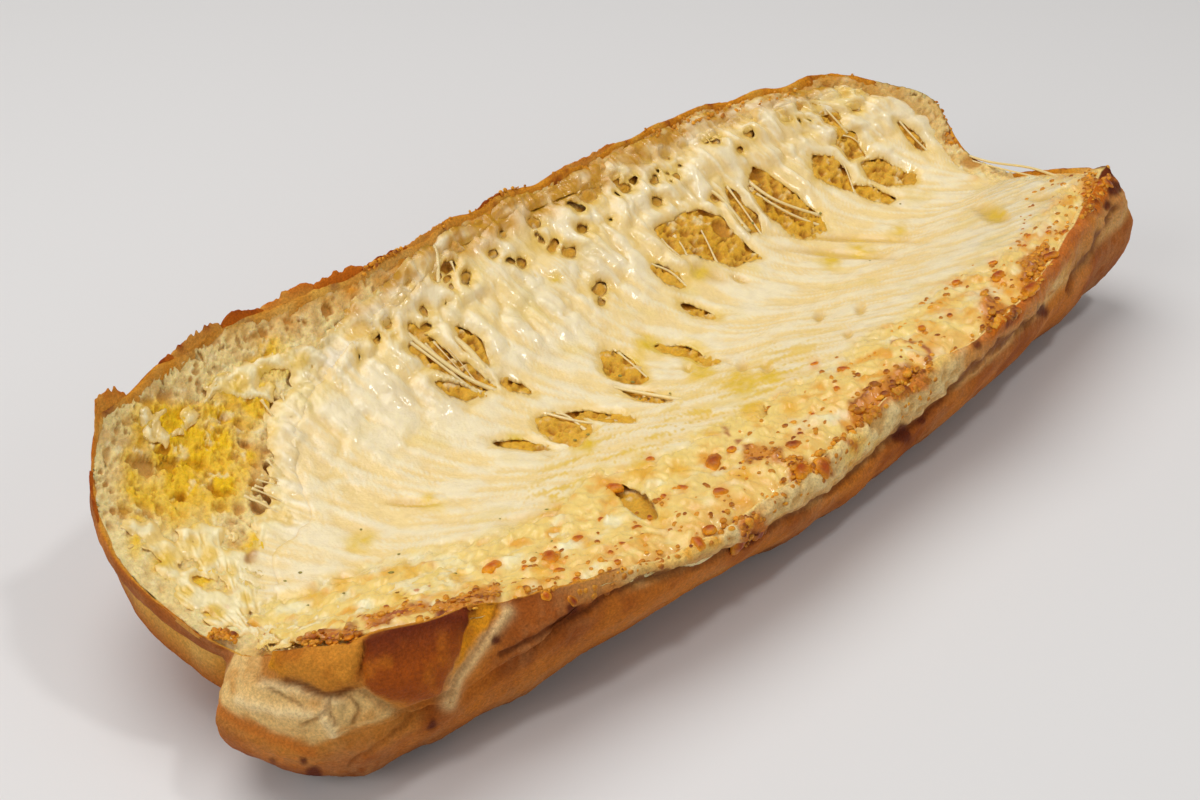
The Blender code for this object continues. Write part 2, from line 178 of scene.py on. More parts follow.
face_a, face_v = face_grid(0, 1, 321, -1, 1, 241)
face_p = opened_face(face_a, face_v)
print("opened face:", face_p.reshape(-1, 3).min(0).round(1), "to", face_p.reshape(-1, 3).max(0).round(1))

# %% [markdown]
# ## The camera
# The photograph was taken from the loaf's near left, from about 34 degrees above the level and from 43 cm away.
# The camera is placed by those numbers. The same numbers turn any point into a place on the picture, which is
# how the holes, blisters and burns below are given: by the pixels where they were seen, on the surface itself.
# %% Camera and picture places
ELEVATION = np.radians(33.5)
HEADING = np.radians(47.97)
DISTANCE = 429.0
TARGET = np.array([137.5, 29.7, 0.0])
PICTURE = (1200, 800)
FOCAL, SENSOR = 50.0, 36.0
look = np.array([np.sin(HEADING) * np.cos(ELEVATION), np.cos(HEADING) * np.cos(ELEVATION), -np.sin(ELEVATION)])
right = np.array([np.cos(HEADING), -np.sin(HEADING), 0.0])
up = np.cross(right, look)
eye = TARGET - DISTANCE * look


def placed(p):
    """Millimetres in the loaf's own frame to metres about the middle of its base."""
    return (np.asarray(p) - np.array([MIDDLE[0], MIDDLE[1], 0])) * MM


def pixel(p):
    """Where a point shows in the picture: its place across and up the view, divided by its depth."""
    q = p - eye
    scale = PICTURE[0] * FOCAL / SENSOR / (q @ look)
    return np.stack([PICTURE[0] / 2 + scale * (q @ right), PICTURE[1] / 2 - scale * (q @ up)], -1)


camera = bpy.data.objects.new("camera", bpy.data.cameras.new("camera"))
camera.data.lens = FOCAL
camera.data.sensor_width = SENSOR
camera.data.clip_start = 0.01
camera.matrix_world = Matrix([(*column, at) for column, at in zip(np.stack([right, up, -look], 1), placed(eye))]
                             + [(0, 0, 0, 1)])
bpy.context.scene.collection.objects.link(camera)
bpy.context.scene.camera = camera
face_q = pixel(face_p)


def at_pixel(q):
    """a and v of picture places: the nearest point of a fine grid, then one step of Newton's method."""
    q = np.atleast_2d(np.asarray(q, float))
    flat = face_q.reshape(-1, 2)
    nearest = np.array([np.argmin(((flat - place) ** 2).sum(1)) for place in q])
    i, j = np.unravel_index(nearest, face_a.shape)
    i, j = np.clip(i, 1, face_a.shape[0] - 2), np.clip(j, 1, face_a.shape[1] - 2)
    slope = np.stack([face_q[i + 1, j] - face_q[i - 1, j], face_q[i, j + 1] - face_q[i, j - 1]], -1) / 2
    cells = np.linalg.solve(slope, (q - face_q[i, j])[..., None])[..., 0]
    cells = np.clip(cells, -1, 1)
    a = face_a[i, j] + cells[:, 0] * (face_a[1, 0] - face_a[0, 0])
    v = face_v[i, j] + cells[:, 1] * (face_v[0, 1] - face_v[0, 0])
    return np.clip(a, 0, 1), np.clip(v, -1, 1)


print("camera at", placed(eye).round(4), "- valley's left end at pixel", pixel(np.array(VALLEY[0])).round(1))

# %% [markdown]
# ## Uneven nature
# Crumb, crust and cheese are uneven at many sizes at once. Blender's texture nodes could do it in a material,
# but then the shape stays flat. Noise worked out here moves the surface itself, and colours it too.


# %% Noise
def hashed(cell, seed):
    """A repeatable number from 0 to 1 for each lattice point: its whole numbers multiplied and mixed."""
    h = cell[..., 0] * 374761393 + cell[..., 1] * 668265263 + cell[..., 2] * 2147483629 + seed * 974634777
    h = (h ^ (h >> 13)) & 0x7FFFFFFF
    h = (h * 1274126177) & 0x7FFFFFFF
    h = (h ^ (h >> 15)) & 0x7FFFFFFF
    h = (h * 1103515245) & 0x7FFFFFFF
    return ((h ^ (h >> 16)) & 0xFFFF) / 65535


def noise(p, size, seed):
    """Smooth noise from -1 to 1: random numbers at the corners of a lattice, blended with a smooth step."""
    g = p / np.asarray(size, float)
    cell = np.floor(g).astype(np.int64)
    f = g - cell
    f = f * f * (3 - 2 * f)
    total = np.zeros(p.shape[:-1])
    for corner in itertools.product((0, 1), repeat=3):
        weight = np.prod(np.where(np.array(corner) == 1, f, 1 - f), axis=-1)
        total += weight * hashed(cell + np.array(corner), seed)
    return 2 * total - 1


TURN = np.array([[0.8, 0.52, -0.3], [-0.6, 0.69, -0.4], [0.0, 0.5, 0.87]])


def clouds(p, size, seed, layers=4):
    """Noise added up at halving sizes and weights, each layer turned so that no lattice shows."""
    total, weight, p = 0, 0, p @ TURN
    for layer in range(layers):
        share = 0.5 ** layer
        total = total + share * noise(p, np.asarray(size, float) * share, seed + layer)
        weight += share
        p = p @ TURN + 7.3
    return total / weight * 1.6


def bubbles(p, normal, size, share, radii, seed):
    """Depth of gas bubbles cut open by a surface. In the 27 cells round a point, each sphere that holds the
    point is left against the normal: the way out is b + sqrt(b^2 + r^2 - q^2), with b = q . n."""
    cell = np.floor(p / size).astype(np.int64)
    deepest = np.zeros(p.shape[:-1])
    for shift in itertools.product((-1, 0, 1), repeat=3):
        c = cell + np.array(shift)
        centre = (c + np.stack([hashed(c, seed + k) for k in range(3)], -1)) * size
        r = size * (radii[0] + (radii[1] - radii[0]) * hashed(c, seed + 3))
        r = np.where(hashed(c, seed + 4) < share, r, 0)
        q = p - centre
        b = (q * normal).sum(-1)
        inside = r * r - (q * q).sum(-1)
        way = b + np.sqrt(np.maximum(b * b + inside, 0))
        deepest = np.maximum(deepest, np.where(inside > 0, np.minimum(way, 1.3 * r), 0))
    return deepest


def shaken(p, size, amount, seed, axes=3):
    """Places moved by noise, in all three directions or only in the first ones."""
    moves = [noise(p, size, seed + k) for k in range(axes)] + [np.zeros(p.shape[:-1])] * (3 - axes)
    return p + amount * np.stack(moves, -1)


print("noise at four places:", noise(np.arange(12).reshape(4, 3) * 1.7, 1.0, 5).round(2))


# %% Shapes seen in the picture
def line_distance(q, points):
    """Distance of each picture place from a line of straight pieces."""
    nearest = np.full(q.shape[:-1], 1e9)
    for start, end in zip(points[:-1], points[1:]):
        a, b = np.array(start, float), np.array(end, float)
        share = np.clip(((q - a) @ (b - a)) / ((b - a) @ (b - a)), 0, 1)
        nearest = np.minimum(nearest, np.linalg.norm(q - a - share[..., None] * (b - a), axis=-1))
    return nearest


def outline_distance(q, corners):
    """Distance inside a closed outline, negative outside: the nearest side, and the even-odd rule."""
    closed = list(corners) + [corners[0]]
    inside = np.zeros(q.shape[:-1], bool)
    for (x0, y0), (x1, y1) in zip(closed[:-1], closed[1:]):
        if y0 != y1:
            crossing = x0 + (q[..., 1] - y0) / (y1 - y0) * (x1 - x0)
            inside ^= ((q[..., 1] > y0) != (q[..., 1] > y1)) & (q[..., 0] < crossing)
    return np.where(inside, 1, -1) * line_distance(q, closed)


def lens_distance(q, start, end, half):
    """About the distance outside a lens with the given pointed ends and half width, negative inside it."""
    a, b = np.array(start, float), np.array(end, float)
    length = np.linalg.norm(b - a) / 2
    way = (b - a) / (2 * length)
    d = q - (a + b) / 2
    beside = np.abs(d @ np.array([-way[1], way[0]])) / half
    return (((d @ way / length) ** 2 + beside ** 1.5) ** 0.6 - 1) * half


def spots(q, places, soft=1.0):
    """1 in the middle of each round spot (x, y, radius) and 0 outside it."""
    total = np.zeros(q.shape[:-1])
    for x, y, r in places:
        total = np.maximum(total, ease(r + soft, r - soft, np.hypot(q[..., 0] - x, q[..., 1] - y)))
    return total


def inside_any(q, outlines, low=-3, high=4):
    """1 inside any of some closed outlines and 0 outside them, with a soft border."""
    return np.maximum.reduce([ease(low, high, outline_distance(q, corners)) for corners in outlines])


def nearest_line(q, paths):
    """Distance of each picture place from the nearest of some lines."""
    return np.minimum.reduce([line_distance(q, path) for path in paths])


print("middle of a unit square:", outline_distance(np.array([[0.5, 0.5]]), [(0, 0), (1, 0), (1, 1), (0, 1)]))


# %% Colours and meshes
def colour(red, green, blue):
    """A colour, 0 to 255, to the linear light that shaders use."""
    c = np.array([red, green, blue]) / 255
    return np.where(c <= 0.04045, c / 12.92, ((c + 0.055) / 1.055) ** 2.4)


def painted(base, paint, amount):
    """The base colour moved towards the paint by the amount, 0 to 1, at each point."""
    amount = np.clip(amount, 0, 1)[..., None]
    return base * (1 - amount) + paint * amount


def coats(base, *layers):
    """Coats of paint on a base: each has a colour, 0 to 255, and its share at each point."""
    tint = base
    for rgb, share in layers:
        tint = painted(tint, colour(*rgb), share)
    return tint


def grid_faces(n, m, around=False):
    """Corner indices of the cells of an n by m grid, joined to its start where it goes around."""
    i, j = np.meshgrid(np.arange(n if around else n - 1), np.arange(m - 1), indexing="ij")
    k = (i + 1) % n
    return np.stack([i * m + j, k * m + j, k * m + j + 1, i * m + j + 1], -1).reshape(-1, 4)


LOWEST, HIGHEST = (np.array(corner) for corner in cad_box)


def add_piece(name, points, faces, finish, node, tint, gloss):
    """Points in millimetres and faces as index arrays become one smooth mesh that rides on the root body."""
    metres = np.clip(placed(points), LOWEST, HIGHEST)
    mesh = bpy.data.meshes.new(name)
    mesh.vertices.add(len(metres))
    mesh.vertices.foreach_set("co", metres.ravel())
    corners = np.concatenate([np.ravel(f) for f in faces])
    sizes = np.concatenate([np.full(len(f), f.shape[1]) for f in faces])
    mesh.loops.add(len(corners))
    mesh.loops.foreach_set("vertex_index", corners.astype(np.int32))
    mesh.polygons.add(len(sizes))
    mesh.polygons.foreach_set("loop_start", np.r_[0, np.cumsum(sizes)[:-1]].astype(np.int32))
    mesh.update(calc_edges=True)
    mesh.validate()
    mesh.shade_smooth()
    tints = mesh.attributes.new("tint", "FLOAT_COLOR", "POINT")
    tints.data.foreach_set("color", np.c_[tint, np.ones(len(points))].ravel())
    glosses = mesh.attributes.new("gloss", "FLOAT", "POINT")
    glosses.data.foreach_set("value", gloss)
    mesh.materials.append(finish)
    obj = bpy.data.objects.new(name, mesh)
    bpy.context.scene.collection.objects.link(obj)
    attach(obj, "root")
    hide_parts(node)
    mesh.calc_loop_triangles()
    print(f"{name}: {len(metres)} points, {len(mesh.loop_triangles)} triangles")


print("middle grey as linear light:", colour(128, 128, 128).round(3))


# %% [markdown]
# ## Finishes
# Bread and cheese scatter light below their skin, so the finishes have some subsurface. The colour of each
# point comes with the mesh. The nodes add what is finer than the mesh: speckle and small pits.


# %% Finishes for bread, cheese and toasted bits
COAT_ROUGH = 0.12


def with_inputs(node, values):
    """The shader node, with the inputs of these names set."""
    for name, value in values.items():
        node.inputs[name].default_value = value
    return node


def finish(name, subsurface, radius, depth, coat, shine, speckle, speckle_size, bump, bump_size, rough):
    """Principled surface: the mesh's tint times speckle, roughness from its gloss, and small bumps. Depth and
    sizes are in millimetres. Rough is the roughness where the gloss is 0 and where it is 1."""
    mat = bpy.data.materials.new(name)
    mat.use_nodes = True
    nodes = mat.node_tree.nodes
    shader = with_inputs(nodes["Principled BSDF"], {
        "Subsurface Weight": subsurface, "Subsurface Radius": radius, "Subsurface Scale": depth * MM,
        "Coat Weight": coat, "Coat Roughness": COAT_ROUGH, "Specular IOR Level": shine})
    place = nodes.new("ShaderNodeTexCoord")
    tint, gloss = nodes.new("ShaderNodeAttribute"), nodes.new("ShaderNodeAttribute")
    tint.attribute_name, gloss.attribute_name = "tint", "gloss"
    fine = with_inputs(nodes.new("ShaderNodeTexNoise"),
                       {"Scale": 1 / (speckle_size * MM), "Detail": 4, "Roughness": 0.65})
    shade = with_inputs(nodes.new("ShaderNodeMapRange"),
                        {"From Min": 0.33, "From Max": 0.67, "To Min": 1 - speckle, "To Max": 1 + speckle})
    speckled = nodes.new("ShaderNodeVectorMath")
    speckled.operation = "SCALE"
    roughness = with_inputs(nodes.new("ShaderNodeMapRange"), {"To Min": rough[0], "To Max": rough[1]})
    pits = with_inputs(nodes.new("ShaderNodeTexNoise"),
                       {"Scale": 1 / (bump_size * MM), "Detail": 5, "Roughness": 0.6})
    relief = with_inputs(nodes.new("ShaderNodeBump"), {"Strength": 1, "Distance": bump * MM})
    for source, target in [
            (place.outputs["Object"], fine.inputs["Vector"]), (fine.outputs["Fac"], shade.inputs["Value"]),
            (tint.outputs["Color"], speckled.inputs[0]), (shade.outputs["Result"], speckled.inputs["Scale"]),
            (speckled.outputs["Vector"], shader.inputs["Base Color"]),
            (gloss.outputs["Fac"], roughness.inputs["Value"]),
            (roughness.outputs["Result"], shader.inputs["Roughness"]),
            (place.outputs["Object"], pits.inputs["Vector"]), (pits.outputs["Fac"], relief.inputs["Height"]),
            (relief.outputs["Normal"], shader.inputs["Normal"])]:
        mat.node_tree.links.new(source, target)
    return mat


crumb_finish = finish("buttered_crumb", subsurface=0.2, radius=(1.0, 0.5, 0.15), depth=1.0, coat=0.0, shine=0.3,
                      speckle=0.14, speckle_size=0.9, bump=0.4, bump_size=0.6, rough=(0.8, 0.3))
crust_finish = finish("floury_crust", subsurface=0.05, radius=(1.0, 0.5, 0.2), depth=0.6, coat=0.0, shine=0.14,
                      speckle=0.22, speckle_size=0.6, bump=0.4, bump_size=0.5, rough=(0.85, 0.35))
cheese_finish = finish("melted_cheese", subsurface=0.3, radius=(1.0, 0.96, 0.5), depth=1.8, coat=0.4, shine=0.45,
                       speckle=0.05, speckle_size=3.0, bump=0.2, bump_size=1.0, rough=(0.55, 0.14))
toast_finish = finish("browned_cheese", subsurface=0.1, radius=(1.0, 0.5, 0.2), depth=0.6, coat=0.1, shine=0.25,
                      speckle=0.2, speckle_size=0.6, bump=0.12, bump_size=0.5, rough=(0.6, 0.2))
print("finishes:", [m.name for m in (crumb_finish, crust_finish, cheese_finish, toast_finish)])

# %% [markdown]
# ## Where the cheese lies
# The white sheet covers the far half and the valley. Its holes are long lenses, because the cheese was pulled
# down the slope while it was soft. Each hole is given by the two ends and the half width that it has in the
# picture. One field says how far a point is inside the sheet: it is cut where the field is zero.

# %% Outline and holes of the sheet, as seen in the picture
# Long and shallow holes and pits have two ends and half a width, small holes a middle and a radius.
SHEET = [(268, 600), (262, 575), (270, 545), (300, 520), (288, 480), (285, 440), (300, 400), (330, 360),
         (355, 330), (385, 300), (410, 272), (430, 240), (470, 219), (520, 193), (560, 177), (600, 165),
         (650, 143), (700, 124), (760, 108), (810, 97), (860, 88), (905, 97), (932, 112), (945, 140),
         (962, 160), (1000, 170), (1040, 170), (1088, 166), (1080, 185), (1060, 210), (1030, 245),
         (985, 275), (940, 300), (900, 330), (870, 350), (830, 380), (790, 400), (750, 425), (700, 445),
         (660, 475), (600, 480), (560, 520), (500, 545), (440, 560), (380, 575), (330, 590), (300, 610)]
LONG_HOLES = [((900, 122), (926, 151), 5), ((651, 265), (686, 287), 6), ((408, 322), (424, 341), 5),
              ((501, 381), (532, 391), 4.5), ((600, 356), (647, 380), 12), ((565, 411), (627, 418), 4),
              ((493, 442), (551, 449), 4), ((622, 391), (666, 399), 3.5), ((680, 303), (716, 318), 5),
              ((652, 343), (714, 361), 4.5)]
BROAD_HOLES = [[(653, 230), (676, 216), (700, 210), (722, 218), (738, 238), (761, 258), (730, 265),
                (694, 254), (674, 252)],
               [(752, 164), (770, 174), (800, 196), (821, 214), (825, 230), (806, 237), (784, 229),
                (764, 212), (750, 190)],
               [(812, 156), (830, 154), (848, 171), (854, 194), (836, 187), (816, 177)],
               [(860, 161), (880, 159), (917, 177), (913, 184), (888, 186), (868, 177)],
               [(853, 185), (872, 186), (898, 199), (892, 205), (874, 202), (856, 194)],
               [(839, 128), (858, 134), (865, 154), (850, 160), (838, 142)],
               [(815, 104), (838, 114), (842, 127), (824, 122)],
               [(724, 186), (736, 192), (757, 216), (762, 234), (750, 233), (731, 208)],
               [(407, 350), (424, 334), (437, 341), (456, 360), (472, 366), (498, 387), (484, 390),
                (463, 378), (446, 373), (425, 364)],
               [(433, 381), (460, 382), (486, 395), (467, 401), (446, 394)],
               [(453, 327), (470, 330), (488, 351), (491, 366), (477, 356), (458, 340)],
               [(536, 419), (558, 411), (584, 418), (590, 429), (574, 444), (552, 438), (538, 429)]]
SMALL_HOLES = [(857, 108, 4), (913, 178, 5), (658, 202, 5), (716, 198, 5), (492, 253, 5), (522, 263, 5),
               (553, 249, 4), (570, 251, 7), (599, 289, 7), (600, 301, 4), (535, 222, 6), (588, 197, 8),
               (625, 188, 6), (582, 230, 5), (440, 276, 4), (449, 279, 4), (466, 276, 5), (448, 266, 8),
               (390, 325, 5), (426, 328, 5), (360, 330, 7), (741, 151, 4), (504, 235, 4)]
SHALLOW = [((688, 265), (722, 281), 7), ((788, 250), (885, 258), 3.5), ((781, 235), (910, 242), 3),
           ((976, 210), (1007, 220), 6), ((1032, 201), (1054, 196), 3), ((731, 277), (747, 284), 3),
           ((504, 524), (559, 518), 5), ((387, 503), (438, 505), 3), ((815, 315), (823, 319), 5),
           ((856, 308), (865, 312), 5), ((844, 334), (852, 337), 4), ((738, 364), (746, 370), 5),
           ((762, 366), (772, 372), 5), ((684, 366), (692, 370), 4)]
# how far the rim is let down where the cheese runs over it: place round the loaf, and millimetres
RIM_SUNK = [(0, 0.3), (0.2, 0.3), (0.28, 2.4), (0.95, 2.4), (1, 1.2), (1.8, 1.2), (1.88, 0), (3.9, 0),
            (4, 0.3)]
NEAR_PITS = [((615, 485), (655, 518), 11), ((659, 434), (672, 456), 5), ((756, 410), (768, 416), 6),
             ((410, 520), (418, 520), 4)]
# toasted clumps: outline, number of grains, how dark and how large they are
CLUMPS = [([(848, 400), (898, 367), (931, 359), (926, 388), (893, 404), (860, 428), (848, 414)], 60, 0.7,
           1.0), ([(983, 291), (1018, 303), (1023, 315), (992, 338), (981, 324)], 40, 0.75, 1.0),
          ([(742, 446), (782, 450), (784, 462), (744, 466)], 30, 0.8, 0.45),
          ([(740, 520), (760, 512), (770, 530), (748, 548), (736, 544)], 60, 0.8, 0.7),
          ([(786, 455), (830, 455), (832, 474), (790, 474)], 60, 0.6, 0.7),
          ([(1085, 165), (1102, 160), (1112, 185), (1096, 215), (1080, 215)], 90, 0.7, 0.7),
          ([(1020, 262), (1045, 240), (1052, 258), (1035, 290), (1018, 292)], 70, 0.6, 0.7),
          ([(300, 640), (360, 630), (362, 642), (305, 652)], 60, 0.8, 0.6),
          ([(210, 630), (238, 640), (232, 648), (208, 638)], 50, 0.5, 0.6),
          ([(432, 608), (470, 594), (498, 586), (500, 598), (470, 608), (438, 618)], 90, 0.9, 0.6),
          ([(366, 622), (400, 610), (432, 602), (434, 611), (402, 620), (368, 632)], 60, 0.6, 0.5),
          ([(360, 268), (402, 240), (405, 247), (363, 276)], 50, 0.6, 0.5),
          ([(932, 100), (942, 98), (960, 150), (950, 152), (944, 128)], 60, 0.5, 0.5),
          ([(430, 222), (520, 180), (560, 165), (558, 173), (520, 190), (436, 231)], 70, 0.4, 0.45),
          ([(640, 132), (700, 112), (760, 98), (815, 80), (812, 88), (760, 107), (700, 123), (644, 142)], 90,
           0.3, 0.5)]
CLUMP_OUTLINES = [corners for corners, *_ in CLUMPS]
# millimetres from the valley to each rim, along the face
FAR_REACH, NEAR_REACH = 70, 55
# about how many pixels a step of 1 in a and in v is, so that margins are given in pixels like the holes
PIXELS_A, PIXELS_V = 600, 180
print("holes:", len(LONG_HOLES) + len(BROAD_HOLES) + len(SMALL_HOLES), "- shallow ones:", len(SHALLOW))


# %% How far a point is inside the sheet
def flat_place(v, p):
    """Places on the face laid flat: x along it, and the distance from the valley across it."""
    return np.stack([p[..., 0], v * np.where(v > 0, FAR_REACH, NEAR_REACH), np.zeros(v.shape)], -1)


def warped(q, flat, amount, seed):
    """Picture places shaken by noise of two sizes, so that drawn outlines come out ragged."""
    shake = [noise(flat, 4.5, seed + k) + 0.5 * noise(flat, 1.9, seed + 2 + k) for k in range(2)]
    return q + amount * np.stack(shake, -1)


def near_room(q, flat):
    """How far a point is from the soft border between the white sheet and the grainy near layer, in pixels."""
    return outline_distance(warped(q, flat, 5.0, 40), SHEET)


def white_share(v, q, flat):
    """1 on the white sheet and 0 on the grainy near layer, mixed over 5 mm between."""
    return np.where(v > 0.1, 1, ease(-2, 22, near_room(q, flat)))


def clump_share(q, flat):
    """1 inside the toasted clumps and 0 outside them, with a ragged edge."""
    return inside_any(warped(q, flat, 2.5, 320), CLUMP_OUTLINES)


def hole_field(q, holes):
    """Distance outside the nearest of some long holes, in pixels."""
    return np.minimum.reduce([lens_distance(q, *hole) for hole in holes])


def torn_holes(q):
    """Distance outside the nearest hole of the white sheet, in pixels: long ones and broad ones."""
    broad = [-outline_distance(q, corners) for corners in BROAD_HOLES]
    return np.minimum(hole_field(q, LONG_HOLES), np.minimum.reduce(broad))


def pore_field(q):
    """Distance outside the nearest small round hole, in pixels."""
    return np.minimum.reduce([np.hypot(q[..., 0] - x, (q[..., 1] - y) * 1.15) - r for x, y, r in SMALL_HOLES])


def rim_pores(v, flat):
    """Distance outside chance pores in the thin cheese below the far rim, in pixels: one circle in some cells
    of a lattice, longer down the slope than along it."""
    g = flat[..., :2] / [4.6, 5.6] + 0.25 * np.stack([noise(flat, 3, 47), noise(flat, 3, 48)], -1)
    cell = np.floor(g).astype(np.int64)
    nearest = np.full(v.shape, 9.0)
    for shift in itertools.product((-1, 0, 1), repeat=2):
        c = np.concatenate([cell + np.array(shift), np.zeros((*v.shape, 1), np.int64)], -1)
        d = g - c[..., :2] - np.stack([hashed(c, 441), hashed(c, 442)], -1)
        r = np.where(hashed(c, 443) < 0.5, 0.1 + 0.2 * hashed(c, 444), -1)
        nearest = np.minimum(nearest, np.hypot(d[..., 0], d[..., 1]) - r)
    return nearest * 18 + 14 * (1 - ease(0.6, 0.78, v)) + 5 * ease(0.3, 0.9, clouds(flat, 25, 49, 2))


def sheet_field(a, v, q, flat):
    """How far inside the white sheet a point is, in pixels: its outline, less its holes, less the rims."""
    outline = outline_distance(warped(q, flat, 4.0, 40), SHEET)
    ragged = warped(q, flat, 2.2, 50)
    rim_room = 0.925 + 0.05 * clouds(flat, 7, 45, 4) - v
    return np.minimum.reduce([
        torn_holes(ragged), pore_field(ragged), rim_pores(v, flat), np.where(v < 0.05, near_room(q, flat), outline),
        rim_room * PIXELS_V, (v + 0.94) * PIXELS_V, (a - 0.012) * PIXELS_A, (0.99 - a) * PIXELS_A])


VALLEY_MIDDLE = pixel(along(VALLEY, 0.5))
print("middle of the valley:", outline_distance(VALLEY_MIDDLE[None], SHEET).round(1), "pixels inside the sheet")


# %% How high the cheese stands
def flow_place(flat):
    """Places along and beside the cheese's flow: it leaves the rim straight down and turns in the valley."""
    y = flat[..., 1]
    beside = flat[..., 0] + np.where(y > 0, 27 * (1 - np.exp(-np.maximum(y, 0) / 30)), 0.9 * y)
    return np.stack([beside, y, np.zeros(y.shape)], -1)


def sheet_lumps(flat):
    """Puffs and stretch marks of the white sheet, 0 to about 1 each. Puffs are |noise|, round with creases
    between them; stretch marks are (1 - |noise|)^3 along the flow, thin raised threads."""
    bent = shaken(flat, 6.0, 1.5, 12, axes=2)
    puffs = np.abs(noise(bent, 7.5, 11)) + 0.5 * np.abs(noise(bent, 3.2, 14))
    wide, thin = (1 - np.abs(noise(flow_place(flat), size, seed)) for size, seed in (((3.0, 17, 1), 21), ((1.5, 12, 1), 22)))
    return puffs, wide ** 3 + 0.6 * thin ** 3


def sheet_height(q, flat):
    """Lift of the white sheet: puffs on the slope, threads along the flow, and dips at shallow holes."""
    slope = ease(18, 40, flat[..., 1])
    puffs, marks = sheet_lumps(flat)
    lift = (0.2 + 0.8 * slope) * (1.5 * puffs - 0.55) + 0.3 * clouds(flat, 15.0, 15, 2)
    lift += marks * (0.15 + 0.25 * slope) + 0.07 * noise(flow_place(flat), (0.9, 14, 1), 23)
    lift *= 0.15 + 0.85 * ease(-1, 9, np.minimum(torn_holes(q), pore_field(q) + 2))
    dips = [ease(half * 0.6, -half * 0.6, lens_distance(q, start, end, half)) for start, end, half in SHALLOW]
    return 0.3 + lift - 0.9 * np.maximum.reduce(dips)


def turned(angle):
    """A turn about z by an angle in degrees, for rows of points."""
    c, s = np.cos(np.radians(angle)), np.sin(np.radians(angle))
    return np.array([[c, -s, 0], [s, c, 0], [0, 0, 1.0]])


SHRED_WAYS = [(turned(25), 361), (turned(-40), 362), (turned(80), 363)]


def layer_height(q, flat):
    """Half melted cheese on the near half: |noise| of three sizes is round with creases between, and
    (1 - |noise|)^5 stretched three ways leaves the ridges of single shreds."""
    bent = shaken(flat, 3.0, 0.9, 341, axes=2)
    grains = np.abs(noise(bent, 4.6, 343)) + 0.6 * np.abs(noise(bent, 2.2, 344)) + 0.18 * clouds(bent, 1.3, 345, 2)
    shreds = sum((1 - np.abs(noise(bent @ turn, (6.5, 1.7, 1), seed))) ** 5 for turn, seed in SHRED_WAYS)
    rough = 0.35 + 0.55 * clouds(bent, 1.6, 349, 3)
    return grains + 0.35 * shreds + 0.45 * clouds(flat, 9, 347, 2) - 0.4 + clump_share(q, flat) * rough


def crest_share(v):
    """How far the near crest has rolled over: the square of the way from v = -0.8 to -0.985."""
    return np.clip((-v - 0.8) / 0.185, 0, 1) ** 2


def crest_sunk(a):
    """How far the near rim is let down below the smooth face, in millimetres."""
    return np.interp(a, *np.array(RIM_SUNK[:5]).T)


def cheese_top(a, v, q, flat):
    """Lift of the cheese's top: smooth on the white sheet, grainy on the near layer, lower at the crest and at
    the right end."""
    mix = white_share(v, q, flat)
    lift = layer_height(q, flat) * (1 - mix) + sheet_height(q, flat) * mix
    lift -= (crest_sunk(a) + 0.5) * crest_share(v)
    return lift - 1.6 * ease(0.965, 0.989, a)


print("near crest let down by", crest_sunk(0.5), "mm in its middle")

# %% [markdown]
# ## The crumb
# Under the cheese is the soft inside of the roll: pale, full of gas bubbles of all sizes, and yellow where the
# garlic butter soaked in. A displacement texture would only give hills. Here each bubble is a sphere cut open
# by the surface, so its walls are steep and its rim is thin, as in real crumb.

# %% Grid of the crumb
# Columns are closer at the left, where the crumb lies bare, and rows on the far half.
CRUMB_ALONG = 500
NEAR_ROWS, FAR_ROWS = 50, 138
crumb_rows = np.r_[np.linspace(-1, -0.02, NEAR_ROWS)[:-1], np.linspace(-0.02, 1, FAR_ROWS)]
crumb_columns = np.interp(np.linspace(0, 1, CRUMB_ALONG), [0, 0.4, 0.47, 1], [0.003, 0.235, 0.29, 0.997])
crumb_a, crumb_v = np.meshgrid(crumb_columns, crumb_rows * 0.99, indexing="ij")
crumb_p = opened_face(crumb_a, crumb_v)
crumb_n = face_normal(crumb_a, crumb_v)
crumb_q = pixel(crumb_p)
crumb_flat = flat_place(crumb_v, crumb_p)
crumb_cover = sheet_field(crumb_a, crumb_v, crumb_q, crumb_flat)
crumb_outline = outline_distance(crumb_q, SHEET)
print("crumb grid:", crumb_a.shape)

# %% Where butter, film and pits are
BUTTER = [(130, 415), (200, 395), (300, 345), (290, 372), (252, 420), (245, 500), (205, 530), (140, 525),
          (124, 470)]
BUTTER_SPOTS = [(163, 455, 14), (192, 440, 12), (253, 400, 16), (274, 356, 16), (256, 545, 14),
                (180, 480, 20), (215, 450, 22), (150, 500, 12), (200, 575, 12), (235, 588, 11),
                (165, 562, 11), (212, 612, 9), (272, 592, 10), (250, 622, 8), (140, 545, 9)]
FILM = [(100, 535), (150, 522), (225, 528), (262, 548), (285, 600), (245, 655), (205, 640), (150, 600),
        (115, 560)]
FILM_TOP = [(195, 404), (216, 372), (262, 352), (300, 330), (345, 325), (330, 362), (300, 390), (235, 396)]
AMBER_PITS = [((217, 412), (231, 422), 6), ((185, 458), (212, 466), 6), ((180, 488), (188, 494), 5),
              ((208, 486), (226, 492), 5), ((235, 440), (251, 446), 5), ((267, 398), (281, 408), 6),
              ((283, 402), (300, 411), 6), ((293, 416), (304, 423), 4), ((313, 404), (325, 414), 5),
              ((318, 424), (328, 430), 4), ((263, 463), (281, 475), 7), ((254, 484), (288, 502), 7),
              ((244, 502), (274, 514), 6), ((324, 344), (341, 358), 6), ((312, 370), (345, 384), 7),
              ((355, 322), (376, 338), 9), ((438, 262), (459, 272), 6), ((290, 568), (310, 580), 4),
              ((272, 604), (281, 622), 4), ((201, 558), (212, 565), 3), ((369, 326), (384, 334), 5)]
film_low = ease(-14, 8, outline_distance(warped(crumb_q, crumb_flat, 7, 60), FILM))
